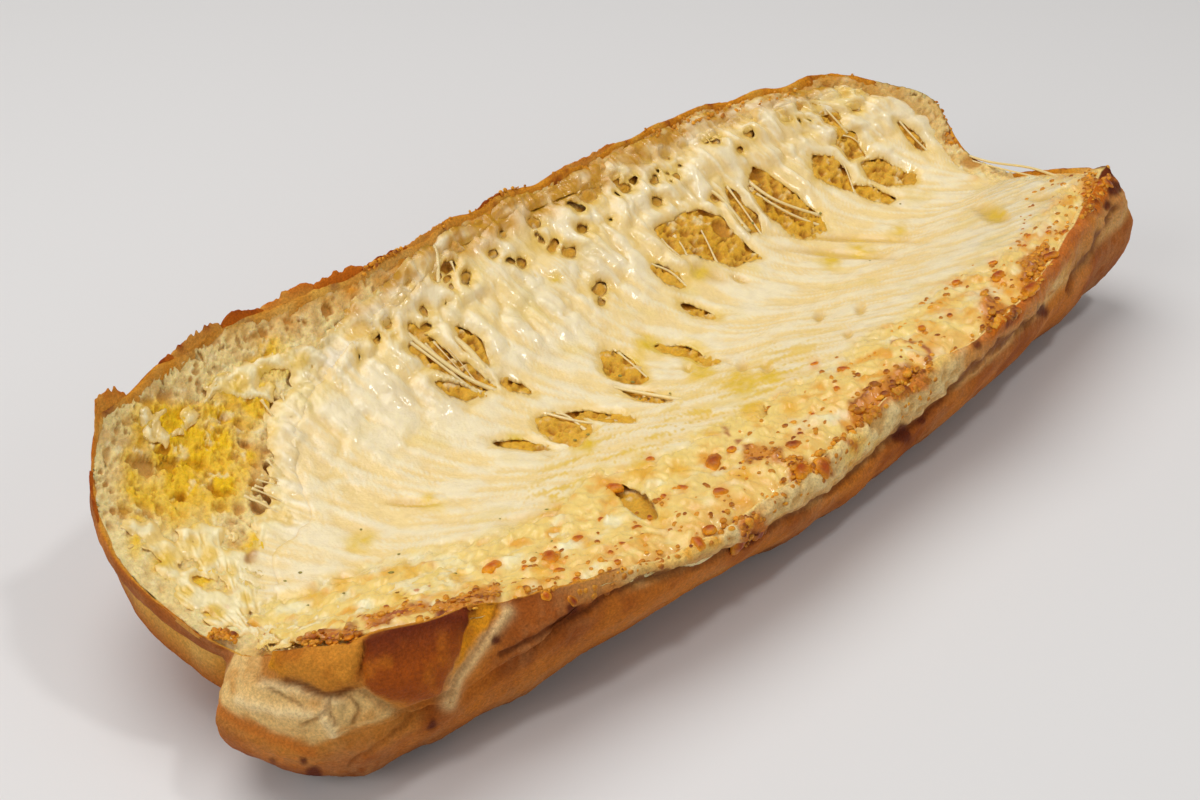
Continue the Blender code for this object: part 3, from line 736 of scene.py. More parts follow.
film_high = ease(-10, 8, outline_distance(warped(crumb_q, crumb_flat, 7, 70), FILM_TOP))
crumb_film = np.maximum(film_low, 0.8 * film_high)
crumb_butter = ease(-14, 12, outline_distance(warped(crumb_q, crumb_flat, 14, 80), BUTTER))
crumb_pits = ease(1.5, -4.5, hole_field(warped(crumb_q, crumb_flat, 2.5, 90), AMBER_PITS))
covered = ease(0, 26, crumb_outline) * ease(1.0, 0.955, crumb_v)
in_pores = ease(6, 0, np.minimum(pore_field(crumb_q), rim_pores(crumb_v, crumb_flat)))
hole_depth = ease(7, 1, np.minimum(torn_holes(crumb_q), hole_field(crumb_q, NEAR_PITS)))
near_side = ease(-0.02, -0.12, crumb_v)
print("film covers", f"{(crumb_film > 0.5).mean():.1%}", "and butter", f"{(crumb_butter > 0.5).mean():.1%}")


# %% Cut the bubbles
def crumb_lumps(p):
    """Unevenness of the crumb, besides its bubbles."""
    return 0.45 * clouds(p, 9.0, 131, 3) + 0.32 * clouds(p, 2.4, 135, 4)


# kinds of bubbles: size of their cells, share of the cells that hold one, radii, seed, and depth that is kept
BUBBLES = [(1.5, 0.8, (0.35, 0.65), 101, 0.85), (2.9, 0.5, (0.3, 0.58), 111, 0.65),
           (6.5, 0.25, (0.25, 0.5), 121, 0.45), (0.9, 0.7, (0.35, 0.6), 131, 0.9)]
bent = crumb_p
for size, amount, seed in [(5.0, 0.9, 106), (2.2, 0.55, 103), (1.1, 0.3, 108)]:
    bent = shaken(bent, size, amount, seed)
dents = [kept * bubbles(bent, crumb_n, size, share, radii, seed) for size, share, radii, seed, kept in BUBBLES]
dents[-1] = dents[-1] * ease(0.3, 0.2, crumb_a)
fill = np.clip(0.35 * crumb_film + near_side * 0.6, 0, 0.9)
dent = np.maximum.reduce(dents) * (1 - fill) * (1 - 0.6 * in_pores) * (1 + 0.4 * ease(0, 8, -crumb_cover) * covered)
edge_still = ease(0, 0.05, crumb_a) * ease(1, 0.95, crumb_a) * ease(1.0, 0.93, np.abs(crumb_v))
crumb_lift = crumb_lumps(crumb_p) * (0.3 + 0.7 * edge_still) - dent * (0.6 + 0.4 * edge_still) - 1.6 * crumb_pits
crumb_lift += crumb_film * 0.3 * noise(flow_place(crumb_flat), (2.2, 9, 1), 141)
crumb_lift -= np.maximum(covered * 1.35, near_side * 1.7) + crest_sunk(crumb_a) * crest_share(crumb_v)
crumb_lift += np.maximum(1.1 * hole_depth, 1.0 * in_pores * ease(0.05, 0.35, crumb_v)) * covered
crumb_points = crumb_p + crumb_n * crumb_lift[..., None]
print("deepest bubble:", dent.max().round(2), "mm")

# %% Colour the crumb
yellow = np.clip(crumb_butter * (0.8 + 0.5 * clouds(crumb_p, 5.0, 155, 3)), 0, 1)
yellow = np.maximum(yellow, 0.9 * spots(warped(crumb_q, crumb_flat, 5, 160), BUTTER_SPOTS, 7))
in_holes = np.maximum(ease(3, -3, crumb_cover) * covered, hole_depth)
# painted shade: the crumb is darker amber the deeper its bubbles and pits are, partly the real amber of the pits
amber_and_depth_shade = ease(0.35, 1.2, dent + 1.5 * crumb_pits) * (0.75 - 0.32 * yellow * (1 - in_holes))
pale_bits = ease(0.35, 0.8, clouds(crumb_p, 2.2, 157, 3)) * ease(0.6, 0.1, dent)
toasted_rim = ease(0.86, 0.97, crumb_v) * (0.65 + 0.7 * clouds(crumb_p, 4.0, 175, 3)) * ease(0.1, 0.4, crumb_a)
toasted_rim = np.maximum(toasted_rim, ease(0.965, 1.0, crumb_v) * (0.5 + 0.8 * clouds(crumb_p, 4.0, 176, 3)))
right_rim = ease(0.93, 0.985, crumb_a) * ease(0.2, 0.6, crumb_v) * (0.7 + 0.5 * clouds(crumb_p, 3.0, 177, 3))
crumb_tint = coats(
    colour(246, 218, 148),
    ((222, 172, 84), ease(-0.2, 0.9, clouds(crumb_p, 6.0, 151, 3))),
    ((250, 198, 8), yellow),
    ((230, 170, 20), in_holes * 0.9),
    ((186, 118, 14), np.maximum(amber_and_depth_shade, in_pores * 0.35)),
    ((252, 236, 190), pale_bits * 0.55),
    ((246, 228, 166), crumb_film * ease(-0.5, 0.5, noise(crumb_flat, 4.0, 171)) * 0.5),
    ((222, 146, 30), toasted_rim),
    ((208, 148, 56), right_rim * 0.8))
crumb_gloss = np.clip(0.1 + 0.45 * crumb_butter + 0.2 * crumb_film + 0.5 * in_holes, 0, 1)
print("middle colour of the crumb, in linear light:", np.median(crumb_tint.reshape(-1, 3), 0).round(3))


# %% Close the crumb below
def border(n, m):
    """Indices once round the edge of an n by m grid, in the order that keeps the inside on the left."""
    index = np.arange(n * m).reshape(n, m)
    return np.r_[index[:-1, 0], index[-1, :-1], index[:0:-1, -1], index[0, :0:-1]]


def shut_below(points, faces, loop, drop, base):
    """Two rows of lower points joined to a grid's edge, and one flat face that closes them."""
    count = len(loop)
    rings = [loop, len(points) + np.arange(count), len(points) + count + np.arange(count)]
    sides = [np.stack([high, low, np.roll(low, -1), np.roll(high, -1)], -1) for high, low in zip(rings, rings[1:])]
    return np.concatenate([points, drop, base]), faces + sides + [rings[-1][::-1][None, :]]


# the crumb's side goes down inside the crust and is drawn in to a flat base
SPINE_X, SIDE_DROP, BASE_HEIGHT = 132.0, 9.0, 9.0
crumb_border = border(*crumb_a.shape)
crumb_edge = crumb_points.reshape(-1, 3)[crumb_border]
crumb_drop = crumb_edge * [0.97, 0.93, 1] + [0.03 * SPINE_X, 0, -SIDE_DROP]
crumb_base = np.stack([SPINE_X + (crumb_edge[:, 0] - SPINE_X) * 0.8, crumb_edge[:, 1] * 0.3,
                       np.full(len(crumb_edge), BASE_HEIGHT)], -1)
crumb_all, crumb_faces = shut_below(crumb_points.reshape(-1, 3), [grid_faces(*crumb_a.shape)], crumb_border,
                                    crumb_drop, crumb_base)
side_tint = np.broadcast_to(colour(238, 220, 172), (2 * len(crumb_edge), 3))
add_piece("crumb", crumb_all, crumb_faces, crumb_finish, "bread",
          np.concatenate([crumb_tint.reshape(-1, 3), side_tint]), np.r_[crumb_gloss.ravel(), np.zeros(len(side_tint))])

# %% [markdown]
# ## The crust
# The crust is the roll's baked skin: golden to chestnut, dusted with flour, thin at the torn rims. It goes
# right round, so it is made as one band: a loop round the opened face, carried down by a cubic curve to a flat
# foot. On the near side a crease shows where the knife and the oven tore it, and a burst flap stands out.

# %% Numbers of the crust
# place round the loaf from 0 to 4, bulge below the rim, reach and inset of the foot, in millimetres
CRUST = [(0.00, 8, 2, 6), (0.05, 7, -2, 10), (0.12, 4.5, -4, 13), (0.2, 3, -10, 19), (0.3, 2.5, -17, 26),
         (0.36, 2.5, -14, 23), (0.44, 2.5, -7, 16), (0.5, 2.5, -4, 14), (0.56, 2.5, -4, 14),
         (0.7, 2.5, -10, 20), (0.8, 3, -6, 17), (0.92, 8, 0, 12), (1.0, 15, 3, 9), (1.1, 12, 1, 11),
         (1.25, 6, -8, 18), (1.5, 2, -12, 26), (1.75, 3, -10, 28), (2.0, 3.5, -10, 30), (2.3, 3, -12, 34),
         (2.7, 3, -12, 34), (2.88, 3.2, -11, 28), (3.0, 3.5, -11, 26), (3.12, 3.5, -17, 32),
         (3.3, 3, -28, 46), (3.48, 1, -24, 34), (3.53, 7, 1, 12), (3.6, 12, 2, 9), (3.8, 11, 3, 6),
         (4.0, 8, 2, 6)]
# how the wall's curve leaves the rim: outwards and downwards
RIM_PULL = 1.35
RIM_DROP = 0.66
# height of the crease at places along the near wall, and its share of the height elsewhere
CREASE = [(0, 20), (26, 20), (44, 27), (62, 28), (70, 27), (81, 25), (93, 24), (106, 22), (118, 20),
          (140, 20.5), (157, 22), (180, 26), (195, 28), (211, 27), (270, 30)]
CREASE_SHARE = 0.42
# folds of the near wall: lip below the crease, hollow band above it, round crest, and the burst flap
LIP = 1.3
BAND_HOLLOW = 0.9
CREST_ROUND = 2.0
EAR = (2, 52)
EAR_SWELL = 3.0
EAR_FLAP = 3.2
CAD_CELLS = (64, 26)
NEAR_COLUMNS, END_COLUMNS, FAR_COLUMNS = 520, 110, 260
crust_rows = np.r_[np.linspace(0, 0.4, 26)[:-1], np.linspace(0.4, 0.62, 22)[:-1], np.linspace(0.62, 1, 22)]
print("crust rows:", len(crust_rows), "- heights of the crease:", len(CREASE))


# %% The loop round the edge
def loop_at(place):
    """a, v of places round the edge: 0 to 1 near rim, to 2 right end, to 3 far rim, to 4 left end."""
    side, t = np.floor(place).astype(int) % 4, place % 1
    s = 2 * t - 1
    across = 1.25 * s - 0.25 * s ** 3
    a = np.select([side == 0, side == 1, side == 2], [t, 1, 1 - t], 0)
    v = np.select([side == 0, side == 1, side == 2], [-1, across, 1], -across)
    return a, v


def rim_points(place):
    """The edge of the face, let down where the cheese runs over it."""
    p = opened_face(*loop_at(place))
    p[..., 2] -= np.interp(place, *np.array(RIM_SUNK).T)
    return p


def outward(p):
    """Level direction out of the loaf at each point of a closed loop, smoothed along it."""
    tangent = np.roll(p, -3, 0) - np.roll(p, 3, 0)
    normal = np.stack([tangent[:, 1], -tangent[:, 0]], -1)
    normal /= np.linalg.norm(normal, axis=1)[:, None]
    for _ in range(6):
        normal = (np.roll(normal, 1, 0) + 2 * normal + np.roll(normal, -1, 0)) / 4
    return normal / np.linalg.norm(normal, axis=1)[:, None]


def places_round(counts):
    """Places round the edge, evenly spaced on each of its four sides."""
    return np.concatenate([side + np.arange(count) / count for side, count in enumerate(counts)])


cad_place = places_round(CAD_CELLS * 2)
cad_out = outward(rim_points(cad_place))
loop_place = places_round((NEAR_COLUMNS, END_COLUMNS, FAR_COLUMNS, END_COLUMNS))
loop_out = between(loop_place, np.r_[cad_place, 4], np.concatenate([cad_out, cad_out[:1]]))
loop_out /= np.linalg.norm(loop_out, axis=1)[:, None]
loop_rim = rim_points(loop_place)
print("columns round the loaf:", len(loop_place))


# %% Carry the loop down to the foot
def wall_curve(height, bulge, reach, foot, h):
    """Cubic curve from the rim to the foot: distance out and height, at h from 0 to 1."""
    out = 3 * h * (1 - h) ** 2 * RIM_PULL * bulge + 3 * h * h * (1 - h) * reach - h ** 3 * foot
    return out, height * ((1 - h) ** 3 + RIM_DROP * 3 * h * (1 - h) ** 2)


def wall_relief(x, row):
    """Folds of the near wall: the band above the crease, the lip below it, and the burst flap."""
    ear = ease(EAR[0] - 4, EAR[0] + 6, x) * ease(EAR[1] + 3, EAR[1] - 5, x)
    facets = 0.75 - 0.25 * np.cos(2 * np.pi * (x - EAR[0]) / (0.5 * (EAR[1] - EAR[0])))
    flap = EAR_SWELL * facets * ease(0, 0.3, row) * ease(0.5, 0.42, row)
    band = -BAND_HOLLOW * np.sin(np.pi * np.clip(row / 0.5, 0, 1)) * ease(55, 75, x) * ease(262, 235, x)
    over = np.sqrt(1 - (1 - np.clip(row / 0.16, 0, 1)) ** 2) * ease(0.5, 0.2, row)
    band = band + CREST_ROUND * over * ease(55, 75, x) * ease(268, 255, x)
    lip = LIP * ease(0.5, 0.56, row) * ease(0.95, 0.6, row)
    return ear * flap + band + lip


sizes = np.array(CRUST, float)
k = np.clip(np.searchsorted(sizes[:, 0], loop_place, side="right") - 1, 0, len(sizes) - 2)
blend = ease(sizes[k, 0], sizes[k + 1, 0], loop_place)[:, None]
bulge, reach, foot = (sizes[k, 1:] * (1 - blend) + sizes[k + 1, 1:] * blend).T[..., None]
rim_height = loop_rim[:, 2][:, None]
dense = np.linspace(0, 1, 101)
heights = wall_curve(rim_height, bulge, reach, foot, dense[None, :])[1]
crease_height = np.interp(loop_rim[:, 0], *np.array(CREASE, float).T)
split = np.array([np.interp(-c, -z, dense) for c, z in zip(crease_height, heights)])
near_wall = np.clip(ease(3.5, 3.56, loop_place) + ease(1.2, 1.0, loop_place), 0, 1)
split = (CREASE_SHARE + near_wall * (split - CREASE_SHARE))[:, None]
row = crust_rows[None, :]
h = np.where(row < 0.5, split * row / 0.5, split + (1 - split) * (row - 0.5) / 0.5)
wall_out, wall_up = wall_curve(rim_height, bulge, reach, foot, h)
wall_out = wall_out + near_wall[:, None] * wall_relief(loop_rim[:, 0][:, None], row)
wall_p = np.stack([loop_rim[:, 0][:, None] + loop_out[:, 0][:, None] * wall_out,
                   loop_rim[:, 1][:, None] + loop_out[:, 1][:, None] * wall_out, wall_up], -1)
print("wall grid:", wall_p.shape[:2])

# %% Marks seen on the crust, by their places in the picture
CREASES = [[(500, 656), (582, 612), (634, 581), (691, 568), (735, 548), (764, 533), (802, 510), (840, 484),
            (881, 449), (924, 416), (947, 393), (965, 372), (1032, 317)],
           [(1115, 208), (1098, 234), (1068, 291)]]
# facets of the burst flap, its shaded foot, its burnt edge, and the dough that shows beside and below it
EAR_LEFT = [(276, 646), (308, 640), (334, 640), (362, 634), (363, 660), (355, 682), (346, 689), (335, 693),
            (322, 690), (306, 684), (288, 677), (266, 673), (272, 660)]
EAR_RIGHT = [(360, 637), (380, 632), (398, 624), (420, 616), (442, 610), (470, 610), (472, 620), (464, 640),
             (457, 656), (450, 672), (440, 688), (426, 698), (406, 705), (388, 702), (374, 694), (364, 682),
             (361, 660)]
EAR_SHADE = [(284, 679), (306, 688), (324, 694), (338, 696), (352, 689)]
EAR_BURN = [(300, 645), (330, 638), (360, 634), (398, 621), (442, 608), (472, 608)]
YELLOW_STRIP = [(470, 612), (484, 598), (500, 594), (497, 612), (488, 630), (470, 652), (450, 676),
                (458, 655), (468, 632)]
PALE_DOUGH = [(238, 645), (262, 658), (262, 676), (298, 682), (335, 694), (362, 688), (384, 702), (402, 713),
              (380, 724), (345, 736), (312, 746), (285, 738), (256, 727), (230, 714), (207, 690), (222, 670)]
TORN_BANDS = [[(700, 520), (722, 500), (770, 478), (800, 462), (848, 440), (842, 470), (800, 500),
               (760, 525), (725, 545)],
              [(850, 430), (900, 400), (935, 370), (965, 350), (962, 372), (925, 410), (880, 440)]]
# lines along which the flap and the dough are raised, creased or seamed; a shadow is painted along the flap's foot
EAR_RIDGE = [(360, 638), (362, 664), (354, 686)]
EAR_FOOT = [(256, 679), (296, 685), (335, 698), (357, 691), (384, 706), (402, 714), (426, 706), (450, 692)]
ROLL = [(506, 612), (489, 634), (456, 674), (447, 702)]
SEAMS = [[(352, 763), (372, 748), (392, 732), (410, 717)], [(266, 686), (280, 696), (296, 703), (306, 708)],
         [(300, 726), (318, 718), (330, 708)], [(330, 698), (328, 712), (336, 726)],
         [(348, 700), (358, 712), (352, 726)], [(498, 604), (486, 634), (454, 674), (447, 698)]]
FOLDS = [[(264, 682), (300, 690), (340, 702)], [(240, 700), (275, 712), (312, 712)],
         [(330, 695), (322, 715), (334, 732)]]
TIP_EDGE = [(207, 692), (230, 716), (256, 729), (285, 740), (314, 750)]
BURNS = [(313, 774, 8), (304, 759, 4), (432, 725, 5), (274, 761, 3), (490, 596, 7), (574, 610, 6),
         (495, 639, 6), (1042, 312, 7), (977, 343, 5), (903, 434, 9), (922, 421, 4), (753, 535, 7),
         (741, 545, 5), (1104, 172, 10), (1112, 190, 8), (1106, 205, 5)]
GRAINY_SPOT = [(346, 713, 13)]
print("marks:", len(CREASES) + len(SEAMS) + len(FOLDS), "lines and", len(BURNS), "burnt spots")


# %% Where the marks lie on the wall
def unit_normals(p):
    """Normals of a grid that goes round: the cross product of its two directions."""
    n = np.cross(np.roll(p, -1, 0) - np.roll(p, 1, 0), np.gradient(p, axis=1))
    return -n / np.maximum(np.linalg.norm(n, axis=-1, keepdims=True), 1e-9)


wall_n = unit_normals(wall_p)
wall_q = pixel(wall_p)
crest_cheese = ease(57, 66, loop_rim[:, 0])[:, None]
wall_seen = (near_wall * ease(2, -5, loop_rim[:, 1]))[:, None] * np.ones(row.shape)
rows = np.broadcast_to(row, wall_p.shape[:2])


def shaken_wall(amount, size, seed):
    """The picture places of the wall, shaken by clouds."""
    return wall_q + amount * np.stack([clouds(wall_p, size, seed + k, 3) for k in range(2)], -1)


def ribs(paths, width):
    """Soft ribs along lines: exp(-(distance / width)^2)."""
    return np.maximum.reduce([np.exp(-(line_distance(wall_q, path) / width) ** 2) for path in paths])


shaken_q, ear_q = shaken_wall(3.0, 5.0, 201), shaken_wall(5.0, 4.0, 203)
crease_line = nearest_line(shaken_q, CREASES)
crease_cut = ease(5, 0.5, crease_line) * wall_seen
torn = inside_any(shaken_q, TORN_BANDS, -3, 5) * wall_seen
ear_left, ear_right, strip = (inside_any(ear_q, [shape]) * wall_seen for shape in (EAR_LEFT, EAR_RIGHT, YELLOW_STRIP))
dough = inside_any(shaken_q, [PALE_DOUGH], -2) * wall_seen
above = ease(0.53, 0.46, rows) * wall_seen * crest_cheese
clump_wall = inside_any(shaken_q, CLUMP_OUTLINES) * above
ear_room = np.maximum(outline_distance(ear_q, EAR_LEFT), outline_distance(ear_q, EAR_RIGHT))
flap = (0.45 * ease(-2, 6, ear_room) + 0.55 * ease(-4, 28, ear_room)) * wall_seen
fold, roll = ribs(FOLDS, 6) * wall_seen, ribs([ROLL], 8) * wall_seen
ridge = ribs([EAR_RIDGE], 11) * flap
tip_edge = ease(9, 2, line_distance(shaken_q, TIP_EDGE)) * wall_seen
foot_line = ease(6, 1, line_distance(shaken_q, EAR_FOOT)) * wall_seen
seam = ease(3.5, 0.5, nearest_line(shaken_q, SEAMS)) * wall_seen
right_end = ease(930, 1000, wall_q[..., 0]) * wall_seen
from_burn = line_distance(shaken_q, EAR_BURN)
print("the photograph shows", f"{(wall_seen > 0.5).mean():.0%}", "of the wall")

# %% Relief of the wall
wrinkle = clouds(wall_p, (9, 9, 5), 211, 4)
curl = ease(14, 3, line_distance(wall_q, EAR_BURN)) * flap
cheesy = 0.9 * np.abs(noise(wall_p, 4.6, 229)) + 0.6 * np.abs(noise(wall_p, 2.2, 230)) + 0.2 * clouds(wall_p, 1.4, 233, 2)
wall_lift = 0.4 * wrinkle + 0.16 * clouds(wall_p, 2.0, 215, 4) - 0.8 * crease_cut
wall_lift += 0.7 * torn * clouds(wall_p, 2.0, 221, 3) + 0.7 * dough * clouds(wall_p, (6, 4, 2.4), 225, 3)
wall_lift += above * (0.9 * cheesy - 0.1) + clump_wall * (0.3 + 0.5 * clouds(wall_p, 1.6, 349, 3)) + 0.8 * fold
wall_lift += EAR_FLAP * flap + 0.8 * ridge + 0.8 * curl + 0.3 * flap * clouds(wall_p, 5, 227, 3)
wall_lift += -0.8 * foot_line * (1 - flap) + 1.1 * roll - 0.7 * seam
wall_lift *= ease(1.0, 0.93, rows)
wall_points = wall_p + wall_n * wall_lift[..., None]
wall_points[..., 2] = np.where(rows > 0.999, 0, np.maximum(wall_points[..., 2], 0))
print("wall relief from", wall_lift.min().round(2), "to", wall_lift.max().round(2), "mm")

# %% Colour of the wall, one coat after another
GOLDEN = (188, 104, 32)
patches = clouds(wall_p, 14, 231, 4)
flour = clouds(wall_p, (11, 11, 7), 235, 3)
stipple = clouds(wall_p, 1.3, 234, 2)
left_of_cheese = ease(44, 54, wall_p[..., 0]) * ease(76, 60, wall_p[..., 0])
below_flap = ease(20, -6, -outline_distance(shaken_q, PALE_DOUGH) - 8)
flap_border = ease(8, -4, np.abs(outline_distance(ear_q, EAR_RIGHT) - 3)) * ease(690, 700, wall_q[..., 1])
burn_wide = 9 + 8 * ease(390, 450, wall_q[..., 0])
baked_and_shaded = [
    ((142, 66, 14), ease(-0.25, 0.8, patches) * 0.7),
    # golden patches, a random tone that fades out towards the foot, partly a painted highlight on the upper wall
    ((218, 132, 38), ease(0.4, -0.7, patches) * ease(0.95, 0.4, rows) * 0.8),
    ((222, 156, 78), ease(0.45, 0.2, rows) * wall_seen * left_of_cheese * 0.8),
    # painted shade: the crust darkens towards its foot, where the loaf curves under
    ((84, 34, 6), ease(0.6, 0.9, rows) * 0.85),
    ((216, 156, 96), ease(-0.6, 0.7, flour) * (0.28 + 0.3 * stipple)),
    ((140, 70, 20), ease(0.15, 0.9, stipple) * 0.35),
    ((190, 138, 88), ease(0.95, 1.0, rows) * 0.5 * (1 - wall_seen))]
# the cheese that ran over the near crest, toasted and torn, with painted shade in the hollows of the torn bands
crest = [
    ((250, 210, 118), above),
    ((253, 232, 176), above * ease(0.2, 0.9, cheesy) * 0.6),
    ((240, 164, 36), above * ease(0.0, 0.9, clouds(wall_p, 4.5, 355, 3)) * 0.85),
    ((190, 96, 18), above * ease(0.45, 0.95, clouds(wall_p, 3.0, 357, 3)) * 0.8),
    ((212, 138, 66), above * right_end * (0.75 + 0.4 * clouds(wall_p, 3.0, 359, 3))),
    ((196, 98, 22), above * right_end * ease(0.3, 0.0, rows) * 0.8),
    ((226, 176, 104), above * ease(0.25, 0.5, rows) * (0.5 + 0.4 * clouds(wall_p, 4.0, 360, 3))),
    ((204, 138, 70), above * ease(16, 2, crease_line) * 0.7),
    ((244, 214, 152), torn * 0.7),
    # painted shade in the hollows of the torn bands, where their relief is low
    ((216, 166, 92), torn * ease(0.3, -0.6, clouds(wall_p, 2.0, 221, 3)) * 0.85),
    ((206, 108, 6), clump_wall * 0.85),
    ((104, 34, 4), clump_wall * ease(0.1, 0.9, clouds(wall_p, 2.4, 365, 3)) * 0.9)]
# pale dough under the flap, with painted highlights on its folds, and the tip
tip = [
    ((214, 150, 66), below_flap * wall_seen * 0.5),
    ((240, 198, 126), dough * 0.95),
    # painted highlight along the raised folds of the dough
    ((252, 220, 160), fold * dough * 0.9),
    ((212, 150, 74), dough * ease(-0.1, 0.8, clouds(wall_p, (5, 3, 2.0), 243, 4)) * 0.75),
    ((196, 160, 100), spots(shaken_q, GRAINY_SPOT, 5) * ease(-0.3, 0.4, noise(wall_p, 1.2, 244)) * wall_seen * 0.8),
    ((202, 116, 40), tip_edge * 0.85)]
# the burst flap: a honey facet, a brown facet, an amber strip and a burnt rim
burst = [
    ((214, 140, 46), ear_left * 0.95),
    ((236, 156, 22), ear_left * ease(300, 276, wall_q[..., 0]) * 0.8),
    ((170, 88, 14), ear_left * ease(0.0, 0.8, clouds(wall_p, 5, 245, 4)) * 0.6),
    ((160, 72, 4), ear_right * 0.95),
    ((96, 28, 0), ear_right * ease(50, 8, from_burn) * 0.85),
    ((204, 116, 22), ear_right * ease(0.0, 0.9, clouds(wall_p, 3.5, 247, 4)) * ease(14, 40, from_burn) * 0.6),
    ((188, 98, 14), ear_right * ease(436, 462, ear_q[..., 0]) * ease(18, 34, from_burn) * 0.6),
    ((238, 156, 20), strip * 0.95),
    ((200, 116, 22), strip * ease(0.0, 0.8, clouds(wall_p, 4, 248, 3)) * 0.6),
    ((226, 142, 34), flap_border * 0.7),
    ((244, 206, 142), roll * (1 - strip) * 0.8),
    ((104, 28, 4), ease(1, 0, (from_burn + 5 * noise(wall_p, 2.5, 250)) / burn_wide) * wall_seen * 0.95)]
marks = [
    # painted shade along the crease, which is also cut into the wall
    ((112, 52, 18), crease_cut * 0.75),
    ((120, 60, 14), ease(5, 1, line_distance(shaken_q, EAR_SHADE)) * wall_seen * 0.8),
    # painted shadow under the foot of the burst flap, and the real dark of the seams
    ((150, 86, 32), np.maximum(foot_line * (1 - flap) * 0.35, seam * 0.4)),
    ((92, 30, 8), spots(shaken_q, BURNS, 3) * wall_seen * 0.9)]
wall_tint = coats(colour(*GOLDEN), *baked_and_shaded, *crest, *tip, *burst, *marks)
wall_gloss = np.clip(0.15 + 0.55 * ear_right + 0.4 * strip + 0.35 * above + 0.2 * ease(0.3, -0.5, wrinkle), 0, 1)
print("coats on the wall:", len(baked_and_shaded + crest + tip + burst + marks))

# %% Turn the rim inwards and close the crust
# rows of the rim that lie behind the crumb's edge: how far in, how far down and how pale, from the lowest up
LIP_ROWS = np.array([(1.9, 7.0, 1), (1.8, 2.6, 1), (1.4, 0.8, 0.8), (0.8, 0.1, 0.4), (0.35, -0.05, 0.1)])
inward, down, inner_pale = LIP_ROWS.T
ragged = 0.45 * clouds(loop_rim, 3.0, 251, 4)[:, None]
slim = (0.8 + 0.35 * clouds(loop_rim, 12.0, 252, 3))[:, None, None]
lip_p = np.concatenate([loop_rim[:, None, :2] - loop_out[:, None] * inward[:, None] * slim,
                        (loop_rim[:, 2:] - down + ragged * (down < 1))[..., None]], -1)
crust_grid = np.concatenate([lip_p, wall_points], 1)
n, m = crust_grid.shape[:2]
pale_side = 0.05 + 0.6 * ease(150, 90, lip_p[..., 0])
lip_tint = coats(
    colour(214, 136, 26),
    ((236, 180, 70), ease(0.0, 0.8, clouds(lip_p, 6, 253, 3)) * 0.6),
    ((150, 66, 12), ease(0.2, 0.8, clouds(lip_p, 3.5, 255, 3))),
    ((240, 204, 118), inner_pale * pale_side * (0.6 + 0.5 * clouds(lip_p, 5, 257, 3))),
    ((246, 212, 132), near_wall[:, None] * crest_cheese))
LIP_GLOSS = 0.2
crust_tint = np.concatenate([lip_tint, wall_tint], 1).reshape(-1, 3)
crust_gloss = np.concatenate([np.full((n, len(LIP_ROWS)), LIP_GLOSS), wall_gloss], 1).ravel()
# a floor inside: the inner edge goes down 6 mm, then in to a flat base 8 mm above the foot
inner_drop = crust_grid[::-1, 0] - [0, 0, 6]
inner_base = crust_grid[::-1, -1] * [0.9, 0.8, 0] + [0.1 * SPINE_X, 0, 8.0]
crust_all, crust_faces = shut_below(crust_grid.reshape(-1, 3), [grid_faces(n, m, True)[:, ::-1]],
                                    np.arange(n)[::-1] * m, inner_drop, inner_base)
foot_loop = np.arange(n) * m + m - 1
add_piece("crust", crust_all, crust_faces + [foot_loop[::-1][None, :]], crust_finish, "bread",
          np.concatenate([crust_tint, np.broadcast_to(colour(*GOLDEN), (2 * n, 3))]),
          np.r_[crust_gloss, np.zeros(2 * n)])

# %% [markdown]
# ## The melted sheet
# The cheese is one stretchy sheet with torn holes. Cutting holes with Boolean modifiers leaves sharp walls.
# Instead the field above is evaluated on a fine grid, the cells are cut along its zero line, and the sheet gets
# a thickness that shrinks to nothing there like the end of an ellipse, so every edge is round and shut.


# %% Cut a grid along the zero line of a field
def cut_grid(field):
    """Splits cells into triangles and keeps the side where the field is positive. A cut edge gets a new vertex
    at its share f0 / (f0 - f1). Returns triangles, and for each vertex its two grid places and share."""
    n, m = field.shape
    index = np.arange(n * m).reshape(n, m)
    a, b, c, d = index[:-1, :-1], index[1:, :-1], index[1:, 1:], index[:-1, 1:]
    halves = [np.stack([a, b, c], -1).reshape(-1, 3), np.stack([a, c, d], -1).reshape(-1, 3)]
    triangles = np.concatenate(halves)
    f = field.ravel()
    inside = f > 0
    count = inside[triangles].sum(1)
    edges, turned = [], []
    for wanted in (1, 2):
        t = triangles[count == wanted]
        lone = np.argmax(inside[t] == (wanted == 1), axis=1)
        t = np.take_along_axis(t, (lone[:, None] + np.arange(3)) % 3, 1)
        turned.append(t)
        edges.append(np.stack([t[:, [0, 1]], t[:, [0, 2]]], 1).reshape(-1, 2))
    pairs = np.sort(np.concatenate(edges), axis=1)
    unique, back = np.unique(pairs[:, 0] * f.size + pairs[:, 1], return_inverse=True)
    new = (f.size + back).reshape(-1, 2)
    one, two = new[:len(turned[0])], new[len(turned[0]):]
    t1, t2 = turned
    made = [triangles[count == 3], np.c_[t1[:, 0], one[:, 0], one[:, 1]],
            np.c_[two[:, 0], t2[:, 1], t2[:, 2]], np.c_[two[:, 0], t2[:, 2], two[:, 1]]]
    first, second = unique // f.size, unique % f.size
    share = np.clip(f[first] / (f[first] - f[second]), 0.1, 0.9)
    made = np.concatenate(made)
    used, packed = np.unique(made, return_inverse=True)
    first = np.r_[np.arange(f.size), first][used]
    second = np.r_[np.arange(f.size), second][used]
    share = np.r_[np.zeros(f.size), share][used]
    return packed.reshape(-1, 3), first, second, share


print("triangles where one corner of two cells is cut off:", len(cut_grid(np.array([[1.0, 1.0], [1.0, -1.0]]))[0]))


